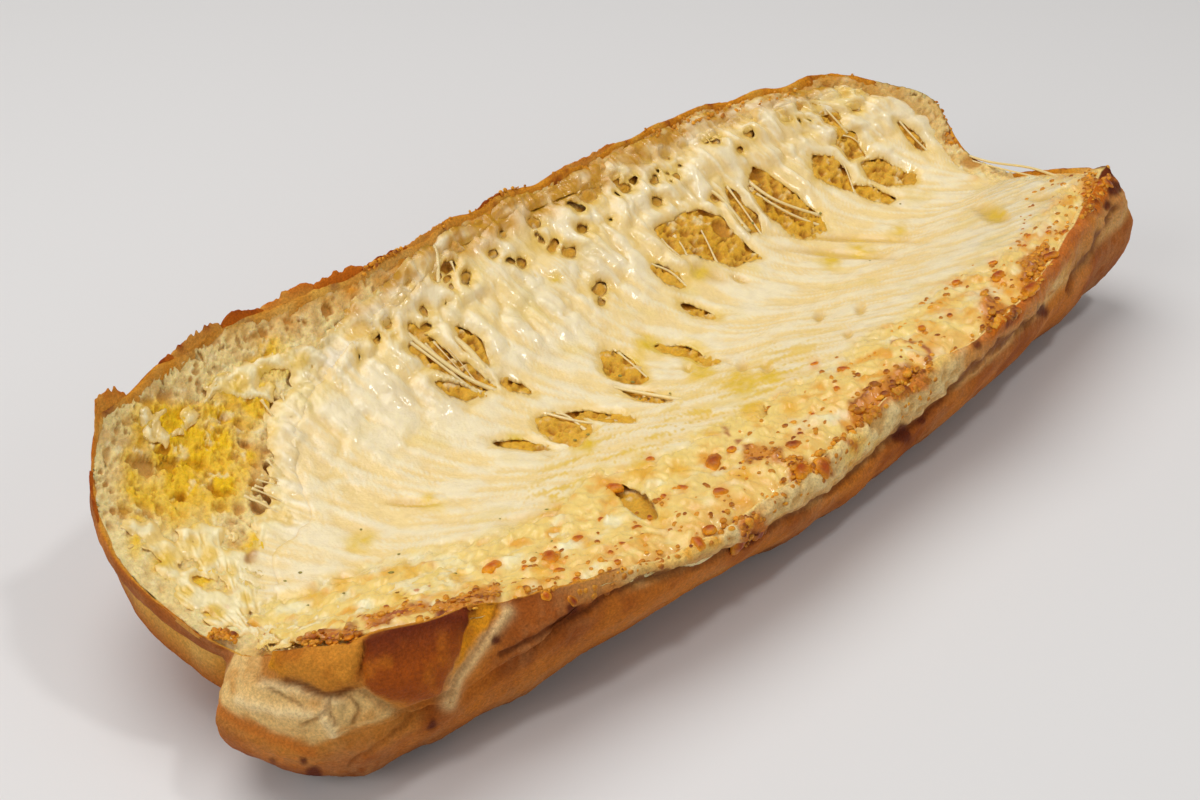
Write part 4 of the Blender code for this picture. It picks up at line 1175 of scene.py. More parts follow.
# %% A closed sheet on the opened face
def sheet_piece(name, a, v, field_of, height_of, tint_of, feather, thickness, round_edge, gloss):
    """A closed sheet on the opened face: cut where its field is zero, thick inside, round at its edges. Where
    the feather is 1 the edge dives into what lies below instead, so that no step shows."""
    p, normal = opened_face(a, v), face_normal(a, v)
    q, flat = pixel(p), flat_place(v, p)
    field = field_of(a, v, q, flat)
    slope_a = np.gradient(field, axis=0) / np.linalg.norm(np.gradient(p, axis=0), axis=-1)
    slope_v = np.gradient(field, axis=1) / np.linalg.norm(np.gradient(p, axis=1), axis=-1)
    from_edge = field / np.maximum(np.hypot(slope_a, slope_v), 0.8)
    thick = thickness * (0.45 + 0.55 * ease(0, 4, from_edge)) * (1 + 0.25 * clouds(flat, 6.0, 305, 2))
    triangles, first, second, share = cut_grid(field)
    cut = share > 0

    def mixed(value):
        value = value.reshape(field.size, -1)
        return value[first] * (1 - share[:, None]) + value[second] * share[:, None]

    edge_way = np.where(cut, 0, mixed(from_edge)[:, 0])[:, None]
    profile = np.sqrt(1 - (1 - np.clip(edge_way / round_edge, 0, 1)) ** 2)
    base, out, deep = mixed(p), mixed(normal), mixed(thick)
    soft = mixed(np.broadcast_to(feather, a.shape))
    dive = 1.2 * soft * (1 - ease(0, 3, edge_way))
    top = base + out * (mixed(height_of(a, v, q, flat)) - (1 - profile) * deep / 2 * (1 - soft) - dive)
    bottom = top - out * deep * profile
    own = np.flatnonzero(~cut)
    under = np.arange(len(first))
    under[own] = len(first) + np.arange(len(own))
    points = np.concatenate([top, bottom[own]])
    tints = mixed(tint_of(a, v, q, flat, from_edge))
    add_piece(name, points, [triangles, under[triangles][:, ::-1]], cheese_finish, "cheese",
              np.concatenate([tints, tints[own]]), np.full(len(points), gloss))


# %% Colour of the cheese
# yellow, buttery places: middle and radius
YELLOW_PATCHES = [(361, 543, 14), (410, 571, 10), (392, 575, 6), (456, 576, 7), (402, 596, 8), (340, 584, 9),
                  (624, 368, 20), (560, 428, 12), (700, 372, 14), (740, 385, 16), (770, 378, 10),
                  (650, 345, 14), (690, 352, 14), (586, 448, 12), (640, 470, 16), (620, 492, 14),
                  (430, 505, 10), (860, 250, 12), (700, 272, 10), (830, 262, 10), (995, 215, 10),
                  (552, 282, 6), (470, 590, 9), (520, 590, 8), (680, 470, 9), (740, 475, 9), (590, 545, 9),
                  (540, 575, 8), (450, 600, 8), (312, 600, 8), (752, 412, 12), (790, 408, 8), (900, 232, 8),
                  (516, 440, 9), (664, 520, 8)]
# blisters: middle, radius, and how dark they are
BLISTERS = [(550, 560, 8, 0.5), (560, 574, 4, 0.6), (576, 578, 3, 0.5), (579, 539, 5, 0.5),
            (545, 596, 4, 0.3), (574, 600, 4, 0.9), (493, 570, 7, 0.3), (525, 572, 3, 0.4),
            (387, 611, 3, 0.8), (407, 612, 3, 0.8), (421, 608, 3, 0.7), (363, 622, 3, 0.8),
            (375, 630, 4, 0.7), (348, 641, 4, 1.0), (335, 644, 3, 0.9), (613, 487, 7, 0.4),
            (650, 461, 4, 0.4), (665, 499, 4, 0.5), (684, 491, 5, 0.5), (637, 528, 4, 0.6),
            (650, 519, 3, 0.9), (659, 505, 3, 0.5), (611, 553, 4, 0.6), (623, 548, 3, 0.6),
            (617, 562, 3, 0.6), (658, 553, 3, 0.5), (709, 524, 6, 0.6), (720, 494, 6, 0.6),
            (698, 543, 6, 0.5), (713, 461, 9, 0.7), (732, 452, 4, 0.4), (800, 434, 3, 1.0),
            (793, 444, 7, 0.9), (800, 463, 9, 0.6), (822, 468, 8, 0.6), (759, 533, 8, 0.9),
            (737, 543, 8, 0.7), (601, 520, 3, 0.5), (1062, 226, 5, 0.6), (1089, 199, 5, 0.6),
            (1048, 251, 6, 0.9), (1078, 215, 4, 0.5), (950, 317, 4, 1.0), (1029, 282, 9, 0.7),
            (999, 279, 7, 0.6), (956, 283, 4, 0.5), (1025, 248, 3, 0.4), (1048, 231, 3, 0.4),
            (1029, 237, 3, 0.4), (993, 263, 4, 0.5), (844, 371, 5, 0.6), (837, 390, 4, 0.4),
            (815, 365, 4, 0.3), (813, 414, 3, 0.5), (922, 331, 4, 0.4), (1100, 170, 6, 0.9),
            (1106, 186, 5, 0.9), (1098, 178, 5, 0.7), (1082, 190, 4, 0.5)]
# toasted lines and their widths
TOASTED_LINES = [([(893, 345), (922, 345), (936, 357), (933, 366)], 4), ([(722, 431), (739, 441)], 5),
                 ([(277, 650), (308, 640), (360, 634), (398, 621), (442, 607)], 6),
                 ([(1098, 159), (1120, 187), (1106, 208)], 5)]


def rim_toast(a, v, flat):
    """How much the far rim is toasted: up to 0.95 at the rim, uneven, and less at the left."""
    return 0.95 * np.clip(ease(0.81, 0.94, v) * (0.8 + 0.9 * clouds(flat, 4, 362, 3)), 0, 1) * ease(0.1, 0.3, a)


def cheese_tint(a, v, q, flat, from_edge):
    """Cream where thick, whiter on the threads and puffs, yellow in the creases and where it is thin over
    butter. On the near layer it is yellower, and orange to brown towards the crest."""
    puffs, threads = sheet_lumps(flat)
    slope = ease(18, 40, flat[..., 1])
    mottle = ease(0.05, 0.4, clouds(flow_place(flat), (3.5, 7, 1), 319, 4)) * ease(80, 25, near_room(q, flat))
    mottle *= (1 - slope) * ease(480, 560, q[..., 0]) * ease(860, 780, q[..., 0])
    dips = [ease(half, -half, lens_distance(q, start, end, half)) for start, end, half in SHALLOW]
    thin = ease(3.0, 0.2, from_edge + 0.8 * noise(flat, 2.5, 369))
    patchy, freckled = 6 * clouds(flat, 3.0, 357, 3), 0.8 + 0.3 * noise(flat, 1.3, 358)
    yellow = [ease(r + 9, r - 9, np.hypot(q[..., 0] - x, (q[..., 1] - y) * 1.4) + patchy)
              for x, y, r in YELLOW_PATCHES]
    sheet = coats(
        colour(253, 219, 152),
        ((255, 234, 192), ease(0.35, 1.2, threads + 0.5 * puffs)),
        ((236, 196, 96), ease(0.24, 0.0, puffs) * slope * 0.75),
        ((242, 212, 130), ease(0.2, 1.0, clouds(flat, 9.0, 315, 3)) * 0.6),
        ((238, 194, 52), mottle * 0.85),
        *(((224, 178, 70), 0.85 * dip) for dip in dips),
        ((240, 190, 70), ease(6, 0, np.minimum(pore_field(q), rim_pores(v, flat))) * 0.7),
        ((242, 196, 88), thin * 0.7),
        ((226, 206, 160), ease(0.1, 0.9, clouds(flat, 13, 367, 3)) * slope * 0.55),
        *(((236, 194, 40), spot * freckled) for spot in yellow))
    clump = clump_share(q, flat)
    layer = coats(
        colour(250, 214, 124),
        ((253, 236, 184), ease(0.1, 0.9, clouds(flat, 5, 351, 3))),
        ((238, 166, 34), ease(0.15, 0.9, clouds(flat, 4.5, 355, 3)) * 0.85),
        *(((238, 178, 38), spot * 0.85) for spot in yellow),
        ((236, 156, 30), np.clip(ease(-0.55, -0.97, v) * (0.45 + 0.9 * clouds(flat, 4, 359, 3)), 0, 1) * 0.45),
        ((216, 130, 0), clump * 0.9),
        ((124, 46, 0), clump * ease(0.0, 0.8, clouds(flat, 2.4, 365, 3)) * 0.9))
    halo = np.maximum.reduce([ease(r * 1.9 + 2, r * 0.4, np.hypot(q[..., 0] - x, q[..., 1] - y))
                              for x, y, r, _ in BLISTERS])
    line_q, line_broken = warped(q, flat, 3.0, 363), ease(-0.6, 0.4, noise(flat, 2.0, 366))
    return coats(
        painted(layer, sheet, white_share(v, q, flat)),
        ((236, 150, 22), halo * (0.6 + 0.4 * noise(flat, 1.5, 361)) * 0.65),
        ((206, 146, 0), rim_toast(a, v, flat)),
        *(((158, 62, 2), ease(width, 0.5, line_distance(line_q, path)) * line_broken * 0.85)
          for path, width in TOASTED_LINES))


print("blisters:", len(BLISTERS), "- yellow patches:", len(YELLOW_PATCHES))

# %% The white sheet, feathered at its near border, at both ends and below the far rim
sheet_a, sheet_v = face_grid(0.01, 0.992, 410, -0.97, 0.985, 136)
sheet_feather = np.maximum.reduce([ease(0.1, 0.0, sheet_v), ease(0.25, 0.2, sheet_a), ease(0.8, 0.9, sheet_v),
                                   ease(0.96, 0.98, sheet_a), np.full(sheet_a.shape, 0.4)])
sheet_piece("melted_sheet", sheet_a, sheet_v, sheet_field, cheese_top, cheese_tint, sheet_feather,
            thickness=1.3, round_edge=0.9, gloss=0.75)

# %% [markdown]
# ## The toasted layer
# On the near half the shreds melted less: they stand as a grainy, yellower layer that reaches the crest and is
# toasted there. It is the same kind of sheet with other fields, and it tucks under the white one.


# %% The near layer, feathered at the crest
def layer_field(a, v, q, flat):
    """How far inside the near layer a point is, in pixels."""
    near_edge = np.interp(a, [0, 0.16, 0.22, 1], [-0.93, -0.96, -0.985, -0.985])
    room = np.minimum(v - near_edge + 0.012 * noise(flat, 3.0, 333), 0.06 - v) * PIXELS_V
    ends = np.minimum(a - 0.03, 0.985 - a) * PIXELS_A
    return np.minimum(np.minimum(room, ends), hole_field(warped(q, flat, 1.6, 330), NEAR_PITS))


def layer_top(a, v, q, flat):
    """Lift of the near layer: the cheese's own top, let down where the white sheet covers it."""
    return cheese_top(a, v, q, flat) - 1.4 * ease(3, 16, near_room(q, flat))


layer_a, layer_v = face_grid(0.02, 0.99, 500, -1.0, 0.08, 96)
sheet_piece("toasted_layer", layer_a, layer_v, layer_field, layer_top, cheese_tint, ease(-0.85, -0.93, layer_v),
            thickness=1.6, round_edge=1.0, gloss=0.45)

# %% [markdown]
# ## Lace at the left
# Where the sheet runs out over the bare crumb it tears into lace: streaks that run to the notch between the two
# halves, blobs and pores. It is the same kind of sheet on a finer grid. Its field is noise, raised by the share
# of the crumb that the lace hides at each place, so the lace thins out instead of ending on a line.


# %% Where the lace lies
# the notch between the halves, yellow and toasted spots, and outlines with the share hidden and their softness
NOTCH = (262, 640)
LACE_TOASTED = [(252, 558, 7), (206, 632, 6)]
LACE_YELLOW = [(254, 546, 11), (208, 558, 9), (232, 572, 6), (272, 606, 8), (185, 592, 7), (300, 562, 10),
               (165, 560, 9), (245, 600, 6), (215, 612, 7), (240, 385, 10), (268, 372, 9), (300, 360, 9),
               (226, 552, 5)]
LACE = [([(100, 535), (150, 522), (225, 528), (262, 548), (285, 600), (300, 650), (240, 655), (205, 640),
          (150, 600), (112, 560)], 0.7, 16),
        ([(195, 404), (216, 372), (262, 352), (300, 330), (360, 325), (330, 372), (300, 396), (235, 400)],
         0.78, 14), ([(128, 440), (150, 400), (200, 370), (240, 380), (200, 430), (150, 470)], 0.4, 10)]
print("outlines of lace:", len(LACE), "- yellow spots in it:", len(LACE_YELLOW))


# %% Lace
def lace_field(a, v, q, flat):
    """How far inside the lace a point is, in pixels: streaky noise plus the share that it hides."""
    outside = -outline_distance(q, SHEET)
    reach = 40 - 22 * ease(0.22, 0.36, a)
    share = 1.2 * ease(reach, -2, outside + 0.3 * reach * clouds(flat, 8, 371, 2))
    ragged_q = warped(q, flat, 10, 387)
    for corners, most, soft in LACE:
        share = np.maximum(share, most * ease(-soft, soft, outline_distance(ragged_q, corners)))
    share *= ease(1.0, 0.95, v) * ease(0.0, 0.03, a)
    away = q - np.array(NOTCH)
    spoke = np.arctan2(-away[..., 1], away[..., 0])
    polar = np.stack([spoke * 30, np.hypot(away[..., 0], away[..., 1]) * 0.12, 0 * spoke], -1)
    streaks = clouds(polar, (4.6, 5.5, 1), 373, 2) * ease(190, 110, np.linalg.norm(away, axis=-1))
    grain = clouds(flat, 4.2, 375, 2)
    field = 0.22 * streaks + 0.74 * grain + 2.2 * share - 1.1
    border = 20 - np.where(v < 0.05, near_room(q, flat), -outside)
    return np.minimum.reduce([field * 5, border, (v + 0.9) * PIXELS_V])


def lace_top(a, v, q, flat):
    """Lift of the lace: a little above the crumb, and up to the sheet where it meets that."""
    p = opened_face(a, v)
    meet = ease(-20, -1, outline_distance(q, SHEET))
    still = 0.3 + 0.7 * ease(0, 0.05, a) * ease(1.0, 0.93, np.abs(v))
    low = crumb_lumps(p) * still + 0.4 + 0.25 * clouds(flat, 2.0, 377, 2)
    return low * (1 - meet) + (cheese_top(a, v, q, flat) - 0.35) * meet


def lace_tint(a, v, q, flat, from_edge):
    """Cream, yellow where it is thin, with a few toasted freckles. It takes the sheet's colour where they meet."""
    tint = coats(
        colour(250, 208, 122),
        ((255, 233, 178), ease(0.5, 2.2, from_edge)),
        ((242, 194, 62), ease(0.1, 0.8, clouds(flat, 6, 379, 3)) * 0.6),
        ((238, 190, 44), 0.75 * spots(warped(q, flat, 3, 383), LACE_YELLOW, 4)),
        ((168, 104, 0), 0.8 * spots(warped(q, flat, 4, 385), LACE_TOASTED, 3)),
        ((206, 146, 0), rim_toast(a, v, flat)),
        ((196, 104, 24), ease(0.62, 0.8, noise(flat, 1.7, 381)) * ease(0.3, -0.1, v) * 0.8))
    return painted(tint, cheese_tint(a, v, q, flat, from_edge), ease(-20, -1, outline_distance(q, SHEET)))


for name, grid in [("cheese_lace", face_grid(0.004, 0.26, 250, -0.9, 0.97, 290)),
                   ("rim_lace", face_grid(0.22, 0.975, 560, 0.66, 0.975, 60))]:
    sheet_piece(name, *grid, lace_field, lace_top, lace_tint, feather=0.35, thickness=1.0, round_edge=1.0, gloss=0.6)

# %% [markdown]
# ## Strands
# Where the sheet tore, thin strands still span the holes. Curves with a bevel would make even wires. A strand
# is thick at its ends, where it grows out of the sheet, and thin along its middle, so each one is a tube whose
# radius grows with the fourth power of the distance from its middle.


# %% Tubes and many small things in one mesh
def skin(n, sides):
    """Faces over n rings of the same number of points, closed at both ends."""
    faces = grid_faces(sides, n, True)
    index = faces % n * sides + faces // n
    ends = np.array([np.arange(sides)[::-1], (n - 1) * sides + np.arange(sides)])
    return [index[:, ::-1], ends[:, ::-1]]


TUBE_SIDES, STRAND_STEPS, STRAND_FLATNESS = 8, 17, 0.8
STRAND_TINT = (248, 218, 152)


def tube(points, radii):
    """Rings round a path: at each step a flattened circle in the plane across the path, closed at both ends."""
    points, radii = np.asarray(points, float), np.asarray(radii, float)
    way = np.gradient(points, axis=0)
    way /= np.linalg.norm(way, axis=1, keepdims=True)
    side = np.cross(way, [0, 0, 1.0])
    side /= np.maximum(np.linalg.norm(side, axis=1, keepdims=True), 1e-6)
    over = np.cross(side, way)
    angle = np.linspace(0, 2 * np.pi, TUBE_SIDES, endpoint=False)
    ring = side[:, None] * np.cos(angle)[:, None] + STRAND_FLATNESS * over[:, None] * np.sin(angle)[:, None]
    rings = points[:, None] + radii[:, None, None] * ring
    return rings.reshape(-1, 3), skin(len(points), TUBE_SIDES)


class Heap:
    """Collects the points, faces and tints of many small things, to become one piece."""

    def __init__(self):
        self.points, self.faces, self.tints, self.count = [], [], [], 0

    def add(self, points, faces, tint):
        """Puts one more thing on the heap: its faces count on from the points that are there."""
        self.points.append(points)
        self.faces += [f + self.count for f in faces]
        self.tints.append(np.broadcast_to(tint, points.shape))
        self.count += len(points)

    def piece(self, name, finish, node, gloss):
        """Makes one piece of all that is on the heap."""
        widths = sorted({f.shape[1] for f in self.faces})
        faces = [np.concatenate([f for f in self.faces if f.shape[1] == width]) for width in widths]
        add_piece(name, np.concatenate(self.points), faces, finish, node,
                  np.concatenate(self.tints), np.full(self.count, gloss))


def surface_point(q, height_of=None):
    """Points on the opened face under picture places, lifted by a height function, and the normals there.
    Places beside the face are looked up on the near wall."""
    q = np.asarray(q, float)
    a, v = at_pixel(q)
    p, normal = opened_face(a, v), face_normal(a, v)
    missed = np.flatnonzero(np.linalg.norm(pixel(p) - q, axis=1) > 4)
    if height_of is not None:
        p = p + normal * height_of(a, v, pixel(p), flat_place(v, p))[:, None]
    seen = np.argwhere((wall_seen > 0.5) & (rows < 0.9))
    for k in missed:
        at = tuple(seen[np.argmin(((wall_q[seen[:, 0], seen[:, 1]] - q[k]) ** 2).sum(1))])
        p[k], normal[k] = wall_points[at], wall_n[at]
    return p, normal


def strand(heap, q, ends, middle):
    """A taut strand through picture places: its thick ends are sunk in the sheet, its middle spans the gap."""
    p = surface_point(q, cheese_top)[0]
    bare, normal = surface_point(q)
    p[1:-1] = bare[1:-1]
    p += np.array([p[0] - p[1], *np.zeros((len(p) - 2, 3)), p[-1] - p[-2]]) * 0.15
    sunk = 0.7 * ends + 0.55
    p -= normal * np.r_[sunk, np.full(len(p) - 2, -0.1), sunk][:, None]
    t = np.linspace(0, 1, STRAND_STEPS)
    points, faces = tube(spline(p, t), 0.85 * middle + (0.9 * ends - middle) * np.abs(2 * t - 1) ** 4)
    heap.add(points, faces, colour(*STRAND_TINT))


print("tube of 3 rings:", tube([(0, 0, 0), (1, 0, 0), (2, 0, 1)], [1, 1, 1])[0].shape)

# %% Strands across the holes: places in the picture, radius at the ends and in the middle
STRANDS = [([(696, 219), (705, 238), (719, 264)], 0.9, 0.28),
           ([(676, 236), (682, 246), (688, 256)], 0.8, 0.3),
           ([(663, 240), (672, 250), (688, 262)], 0.8, 0.35),
           ([(405, 330), (462, 375), (500, 390)], 1.4, 0.7),
           ([(440, 325), (470, 352), (500, 388)], 1.6, 1.0),
           ([(408, 340), (434, 360), (480, 393)], 1.0, 0.45),
           ([(436, 343), (450, 360), (468, 378)], 0.5, 0.16),
           ([(442, 341), (456, 357), (474, 378)], 0.5, 0.14),
           ([(428, 345), (444, 362), (458, 377)], 0.5, 0.16),
           ([(750, 180), (777, 201), (824, 214)], 1.6, 0.6),
           ([(748, 186), (786, 212), (822, 224)], 1.2, 0.5),
           ([(838, 152), (846, 170), (856, 194)], 0.9, 0.25),
           ([(842, 134), (852, 138), (862, 144)], 0.8, 0.3),
           ([(846, 166), (858, 176), (870, 184)], 0.9, 0.35),
           ([(586, 377), (630, 391), (702, 400)], 1.2, 0.6),
           ([(556, 411), (568, 417), (584, 427)], 0.8, 0.4),
           ([(620, 352), (634, 366), (652, 380)], 0.7, 0.3),
           ([(259, 480), (275, 485), (291, 491)], 0.6, 0.22),
           ([(257, 486), (272, 491), (289, 497)], 0.6, 0.2),
           ([(254, 490), (270, 496), (287, 503)], 0.6, 0.25),
           ([(247, 496), (262, 504), (281, 513)], 0.8, 0.35),
           ([(268, 462), (275, 470), (282, 478)], 0.6, 0.25),
           ([(263, 476), (276, 481), (290, 485)], 0.6, 0.18),
           ([(282, 396), (286, 405), (291, 416)], 0.7, 0.35),
           ([(300, 396), (304, 408), (310, 420)], 0.7, 0.35),
           ([(262, 402), (268, 410), (276, 418)], 0.6, 0.3),
           ([(312, 398), (315, 412), (322, 425)], 0.6, 0.3),
           ([(434, 240), (437, 258), (439, 280)], 0.9, 0.6),
           ([(452, 262), (454, 270), (456, 280)], 0.6, 0.3),
           ([(690, 180), (718, 196), (746, 226)], 1.2, 0.7),
           ([(730, 188), (744, 210), (764, 236)], 0.7, 0.3),
           ([(846, 200), (870, 205), (905, 212)], 1.0, 0.6),
           ([(650, 262), (670, 272), (690, 288)], 0.8, 0.4),
           ([(538, 409), (575, 421), (618, 424)], 0.8, 0.45),
           ([(944, 143), (985, 161), (1030, 168), (1058, 170)], 0.9, 0.5),
           ([(950, 150), (990, 166), (1046, 175)], 0.8, 0.35),
           ([(818, 100), (830, 114), (846, 130)], 0.7, 0.4),
           ([(900, 120), (912, 136), (930, 152)], 0.7, 0.35)]
strands = Heap()
for q, ends, middle in STRANDS:
    strand(strands, q, ends, middle)
strands.piece("cheese_strands", cheese_finish, "cheese", 0.6)

# %% [markdown]
# ## Flakes of crust
# Where the roll was cut and pulled open, thin flakes of crust stand up along the torn rim. Each is a thin leaf:
# it follows the rim between two picture places, rises and leans outward, and thins to a toasted edge.


# %% Leaves on the rim
LEAF_STEPS, LEAF_THICK, LEAF_FOOT = 64, 0.5, 1.2
LEAF_LEVEL = np.array([0, 0.4, 0.75, 1, 1, 0.75, 0.4, 0])
LEAF_SIDE = np.array([1, 1, 1, 1, -1, -1, -1, -1])


def leaf(heap, start, end, tall, lean, tint, edge, late=1.0):
    """A leaf on the rim: its height is tall * sin(pi t^late)^0.6, uneven by noise, from start to end. The tip
    comes later for a larger late."""
    rim_q = pixel(loop_rim)
    first, last = (np.argmin(np.where(loop_place > 1.9, ((rim_q - place) ** 2).sum(1), 1e9))
                   for place in (start, end))
    pick = np.linspace(first, last, LEAF_STEPS)
    base, out = (between(pick, np.arange(len(loop_rim)), table) for table in (loop_rim, loop_out))
    out = np.c_[out, np.zeros(LEAF_STEPS)]
    rough = 0.3 * noise(base, 0.8, 420) + 0.35 * noise(base, 1.7, 421) + 0.35 * noise(base, 4.0, 423)
    rise = tall * np.sin(np.pi * np.linspace(0, 1, LEAF_STEPS) ** late) ** 0.6 * (1 + rough)
    side = LEAF_THICK * (1 - 0.8 * LEAF_LEVEL) * LEAF_SIDE / 2
    points = base[:, None] + out[:, None] * (lean * LEAF_LEVEL ** 2 + side - 0.5)[None, :, None]
    points[..., 2] += (rise[:, None] + LEAF_FOOT) * LEAF_LEVEL - LEAF_FOOT
    share = np.clip(LEAF_LEVEL[None, :] * (0.7 + 0.6 * noise(base, 2.0, 425)[:, None]), 0, 1) ** 1.5
    colours = painted(colour(*tint), colour(*edge), share)
    order = 1 if last > first else -1
    heap.add(points[::order].reshape(-1, 3), skin(LEAF_STEPS, len(LEAF_LEVEL)), colours[::order].reshape(-1, 3))


# start and end in the picture, height, lean, the colours of leaf and edge, and how late the tip comes
TAN, ORANGE, RED = (226, 162, 70), (206, 112, 24), (140, 46, 8)
FLAKES = [((82, 470), (122, 390), 3.4, 0.3, TAN, ORANGE, 2.4),
          ((155, 364), (172, 352), 1.6, 0.3, ORANGE, RED), ((168, 356), (218, 323), 2.8, 0.6, TAN, RED),
          ((221, 328), (262, 307), 1.8, 0.2, ORANGE, RED), ((258, 311), (316, 283), 2.6, 1.0, TAN, ORANGE),
          ((312, 290), (358, 260), 2.7, 0.6, ORANGE, ORANGE),
          ((356, 268), (404, 241), 1.0, 0.2, ORANGE, RED), ((400, 244), (440, 220), 1.5, 0.4, TAN, ORANGE),
          ((470, 208), (500, 192), 0.9, 0.0, ORANGE, RED), ((560, 172), (618, 150), 1.2, 0.4, TAN, ORANGE),
          ((100, 520), (84, 470), 1.0, 0.5, ORANGE, RED), ((190, 648), (150, 610), 1.0, 0.5, TAN, ORANGE),
          ((957, 150), (935, 97), 1.1, 0.2, TAN, RED), ((900, 84), (850, 74), 0.9, 0.2, TAN, ORANGE)]
flakes = Heap()
for flake in FLAKES:
    leaf(flakes, *flake)
flakes.piece("crust_flakes", crust_finish, "bread", 0.3)

# %% [markdown]
# ## Browned blisters
# Bubbles in the cheese swell in the oven and brown at their tops. Each is a low dome, dark in the middle and
# orange at its foot. All domes are one array: a unit dome is scaled, turned to the surface and made lumpy at once.


# %% Many domes at once
def unit_dome(around, rings):
    """Points and faces of a dome of radius 1: its top, rings at angles up to 2 radians from it, a flat base."""
    t = np.linspace(0.0, 2.0, rings + 1)[1:, None]
    s = np.linspace(0, 2 * np.pi, around, endpoint=False)
    points = np.stack([np.sin(t) * np.cos(s), np.sin(t) * np.sin(s), np.cos(t) * np.ones(around)], -1)
    here = 1 + np.arange(around)
    after = 1 + (np.arange(around) + 1) % around
    fan = np.stack([np.zeros(around, int), here, after], -1)
    cells = np.stack([here, here + around, after + around, after], -1)
    walls = np.concatenate([cells + ring * around for ring in range(rings - 1)])
    base = (here + (rings - 1) * around)[::-1][None, :]
    return np.concatenate([[(0, 0, 1)], points.reshape(-1, 3)]), (fan, walls, base)


def domes(heap, centres, normals, wide, tall, tops, feet, seed, around, rings, sink=0.35):
    """Domes on a surface: x and y are wide * sin(t), the height is tall * cos(t), with t past 90 degrees at the
    foot so that the rim is below the surface. Noise pushes each point in or out."""
    unit, unit_faces = unit_dome(around, rings)
    side = np.cross(normals, [0.3, 1.0, 0.1])
    side /= np.linalg.norm(side, axis=1, keepdims=True)
    front = np.cross(normals, side)
    rng = np.random.default_rng(seed)
    turn = rng.uniform(0, 2 * np.pi, len(centres))[:, None]
    stretch = rng.uniform(0.75, 1.25, len(centres))[:, None]
    x = unit[None, :, 0] * wide[:, None] * stretch
    y = unit[None, :, 1] * wide[:, None] / stretch
    x, y = np.cos(turn) * x - np.sin(turn) * y, np.sin(turn) * x + np.cos(turn) * y
    z = (unit[None, :, 2] - sink) * tall[:, None]
    p = (centres[:, None] + x[..., None] * side[:, None] + y[..., None] * front[:, None]
         + z[..., None] * normals[:, None])
    bumps = 1 + 0.3 * noise(p, 1.1, seed) + 0.12 * noise(p, 0.5, seed)
    p = centres[:, None] + (p - centres[:, None]) * bumps[..., None]
    high = np.clip(unit[:, 2], 0, 1)[None, :, None] ** 1.5
    tint = feet[:, None] * (1 - high) + tops[:, None] * high
    offset = np.arange(len(centres))[:, None, None] * len(unit)
    faces = [(f[None] + offset).reshape(-1, f.shape[1]) for f in unit_faces]
    heap.add(p.reshape(-1, 3), faces, tint.reshape(-1, 3))


print("points of a dome with 8 sides and 3 rings:", len(unit_dome(8, 3)[0]))

# %% Place the blisters
BLISTER_MM = 0.27
places = np.array(BLISTERS, float)
centres, normals = surface_point(places[:, :2], cheese_top)
wide, dark = places[:, 2] * BLISTER_MM, places[:, 3]
tops = painted(colour(220, 100, 0), colour(120, 32, 0), dark)
feet = painted(colour(248, 176, 30), colour(214, 98, 0), 0.5 * dark)
blisters = Heap()
domes(blisters, centres, normals, wide, wide * 0.55, tops, feet, 401, around=16, rings=8, sink=0.2)
blisters.piece("browned_blisters", toast_finish, "cheese", 0.6)

# %% Flecks of herbs: places in the picture and sizes
HERBS = [(392, 575, 1.2), (399, 555, 0.8), (552, 541, 0.8), (547, 511, 0.7), (455, 575, 0.8),
         (402, 596, 0.7), (361, 530, 0.7), (620, 377, 1.2), (633, 383, 0.9), (752, 224, 0.9),
         (588, 436, 1.0), (575, 441, 0.8), (700, 258, 0.7), (870, 262, 0.8), (300, 575, 0.9),
         (285, 583, 0.7), (308, 608, 0.8), (500, 520, 0.6), (820, 214, 0.9), (900, 206, 0.6),
         (345, 598, 0.7), (536, 556, 0.7), (640, 400, 0.7), (670, 394, 0.6)]
places = np.array(HERBS)
centres, normals = surface_point(places[:, :2], cheese_top)
wide = places[:, 2] * 0.5
green = np.broadcast_to(colour(150, 138, 62), (len(places), 3))
herbs = Heap()
domes(herbs, centres, normals, wide, wide * 0.32, green, green * 0.85, 405, around=7, rings=3, sink=0.1)
herbs.piece("herb_flecks", toast_finish, "cheese", 0.3)

# %% [markdown]
# ## Toasted grains
# Along the near crest the shreds baked dry and broke into crumbly, toasted clumps. Scattered grains give that
# edge its rough outline. They are drawn at random inside the shapes seen in the picture, from a fixed seed.

# %% Scatter grains: in the clumps, along the crest and in a band beside it
BAND = [(570, 590), (620, 572), (700, 540), (760, 503), (820, 457), (900, 392), (930, 366), (938, 386),
        (880, 438), (800, 500), (740, 535), (690, 556), (600, 600)]
CREST_GRAINS, BAND_TRIES, BAND_GRAINS = 420, 900, 110
rng = np.random.default_rng(77)
grain_q, grain_size, grain_dark = [], [], []


def sprinkle(q, low, high, scale, darkness, spread):
    """Grains at picture places: sizes between two limits times a scale, and darkness about a middle value."""
    grain_q.append(q)
    grain_size.append(scale * rng.uniform(low, high, len(q)))
    grain_dark.append(np.clip(darkness + rng.normal(0, spread, len(q)), 0, 1))


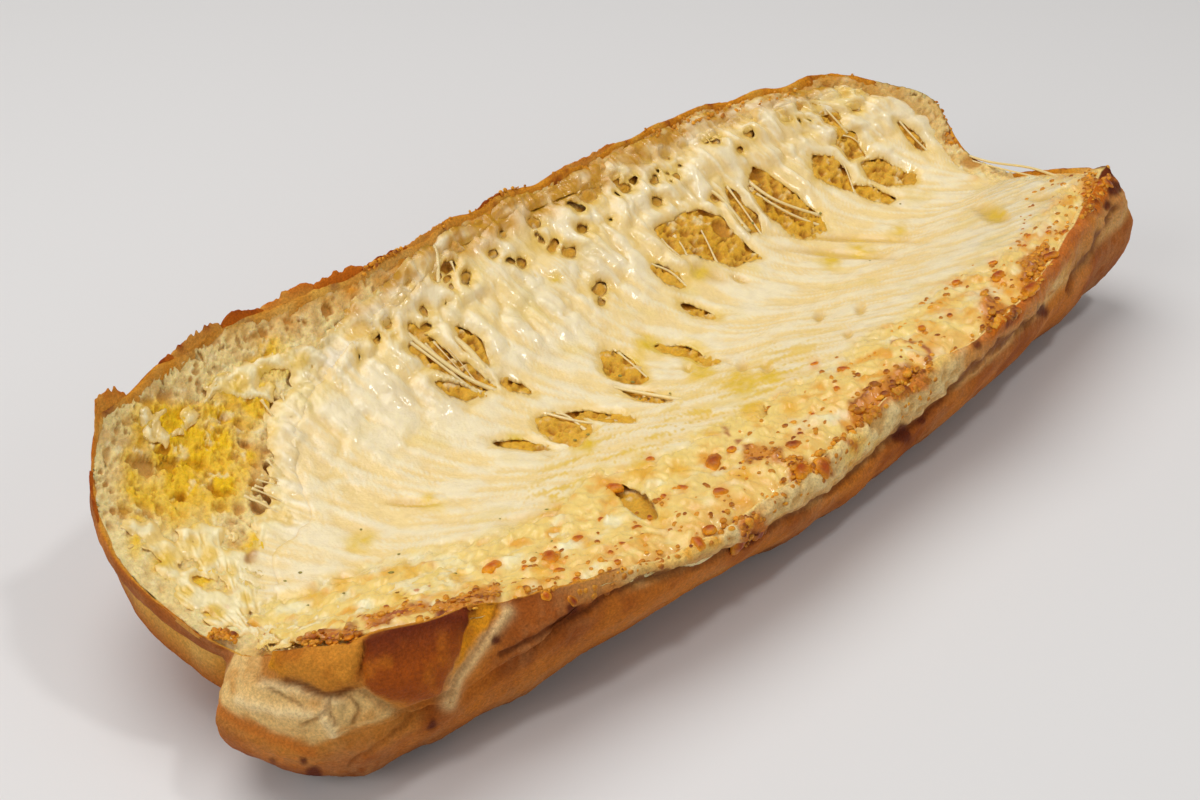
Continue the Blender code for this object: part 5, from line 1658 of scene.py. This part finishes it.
for corners, count, darkness, scale in CLUMPS:
    tries = rng.uniform(np.min(corners, 0), np.max(corners, 0), (count * 4, 2))
    sprinkle(tries[outline_distance(tries, corners) > 0][:count], 0.4, 1.3, scale, darkness - 0.15, 0.35)
crest_a = rng.uniform(0.05, 0.985, CREST_GRAINS)
crest_v = -0.975 + 0.4 * rng.uniform(0, 1, CREST_GRAINS) ** 2.2
sprinkle(pixel(opened_face(crest_a, crest_v)), 0.3, 0.85, 1.0, 0.4, 0.3)
band_q = rng.uniform((560, 370), (940, 610), (BAND_TRIES, 2))
sprinkle(band_q[outline_distance(band_q, BAND) > 0][:BAND_GRAINS], 0.3, 0.8, 1.0, 0.4, 0.3)
centres, normals = surface_point(np.concatenate(grain_q), cheese_top)
wide, dark = np.concatenate(grain_size), np.concatenate(grain_dark)
tall = wide * rng.uniform(0.4, 1.0, len(wide))
tops = painted(colour(232, 142, 16), colour(112, 34, 0), dark)
feet = painted(colour(246, 186, 60), colour(180, 80, 0), 0.7 * dark)
grains = Heap()
domes(grains, centres, normals, wide, tall, tops, feet, 411, around=8, rings=3)
grains.piece("toasted_grains", toast_finish, "cheese", 0.3)

# %% [markdown]
# ## Floor, light and the last lines
# A pale floor and large soft lights make a plain studio, as the photograph's soft light asks for.

# %% Floor and lights
FLOOR_HALF = 6
floor_mesh = bpy.data.meshes.new("floor")
floor_mesh.from_pydata([(x * FLOOR_HALF, y * FLOOR_HALF, 0) for x, y in ((-1, -1), (1, -1), (1, 1), (-1, 1))],
                       [], [(0, 1, 2, 3)])
floor = bpy.data.objects.new("floor", floor_mesh)
bpy.context.scene.collection.objects.link(floor)
floor_finish = bpy.data.materials.new("pale_floor")
floor_finish.use_nodes = True
with_inputs(floor_finish.node_tree.nodes["Principled BSDF"],
            {"Base Color": (0.78, 0.765, 0.755, 1), "Roughness": 0.6})
floor_mesh.materials.append(floor_finish)

# name, place in metres, size and power
LIGHTS = [("top", (-0.1, 0.35, 1.1), 1.0, 6.9), ("left", (-1.1, 0.1, 0.7), 0.7, 3.5),
          ("front", (0.2, -1.2, 0.7), 0.8, 2.0), ("key", (0.25, -0.35, 0.95), 0.12, 1.6)]
for name, at, size, power in LIGHTS:
    lamp = bpy.data.lights.new(name, "AREA")
    lamp.shape = "DISK"
    lamp.size = size
    lamp.energy = power
    holder = bpy.data.objects.new(name, lamp)
    holder.location = at
    holder.rotation_euler = (-Vector(at)).to_track_quat("-Z", "Y").to_euler()
    bpy.context.scene.collection.objects.link(holder)
world = bpy.data.worlds.new("room")
world.use_nodes = True
with_inputs(world.node_tree.nodes["Background"], {"Color": (1.0, 0.985, 0.97, 1), "Strength": 0.25})
bpy.context.scene.world = world
bpy.context.scene.view_settings.view_transform = "Standard"
print("lights:", [name for name, *_ in LIGHTS])
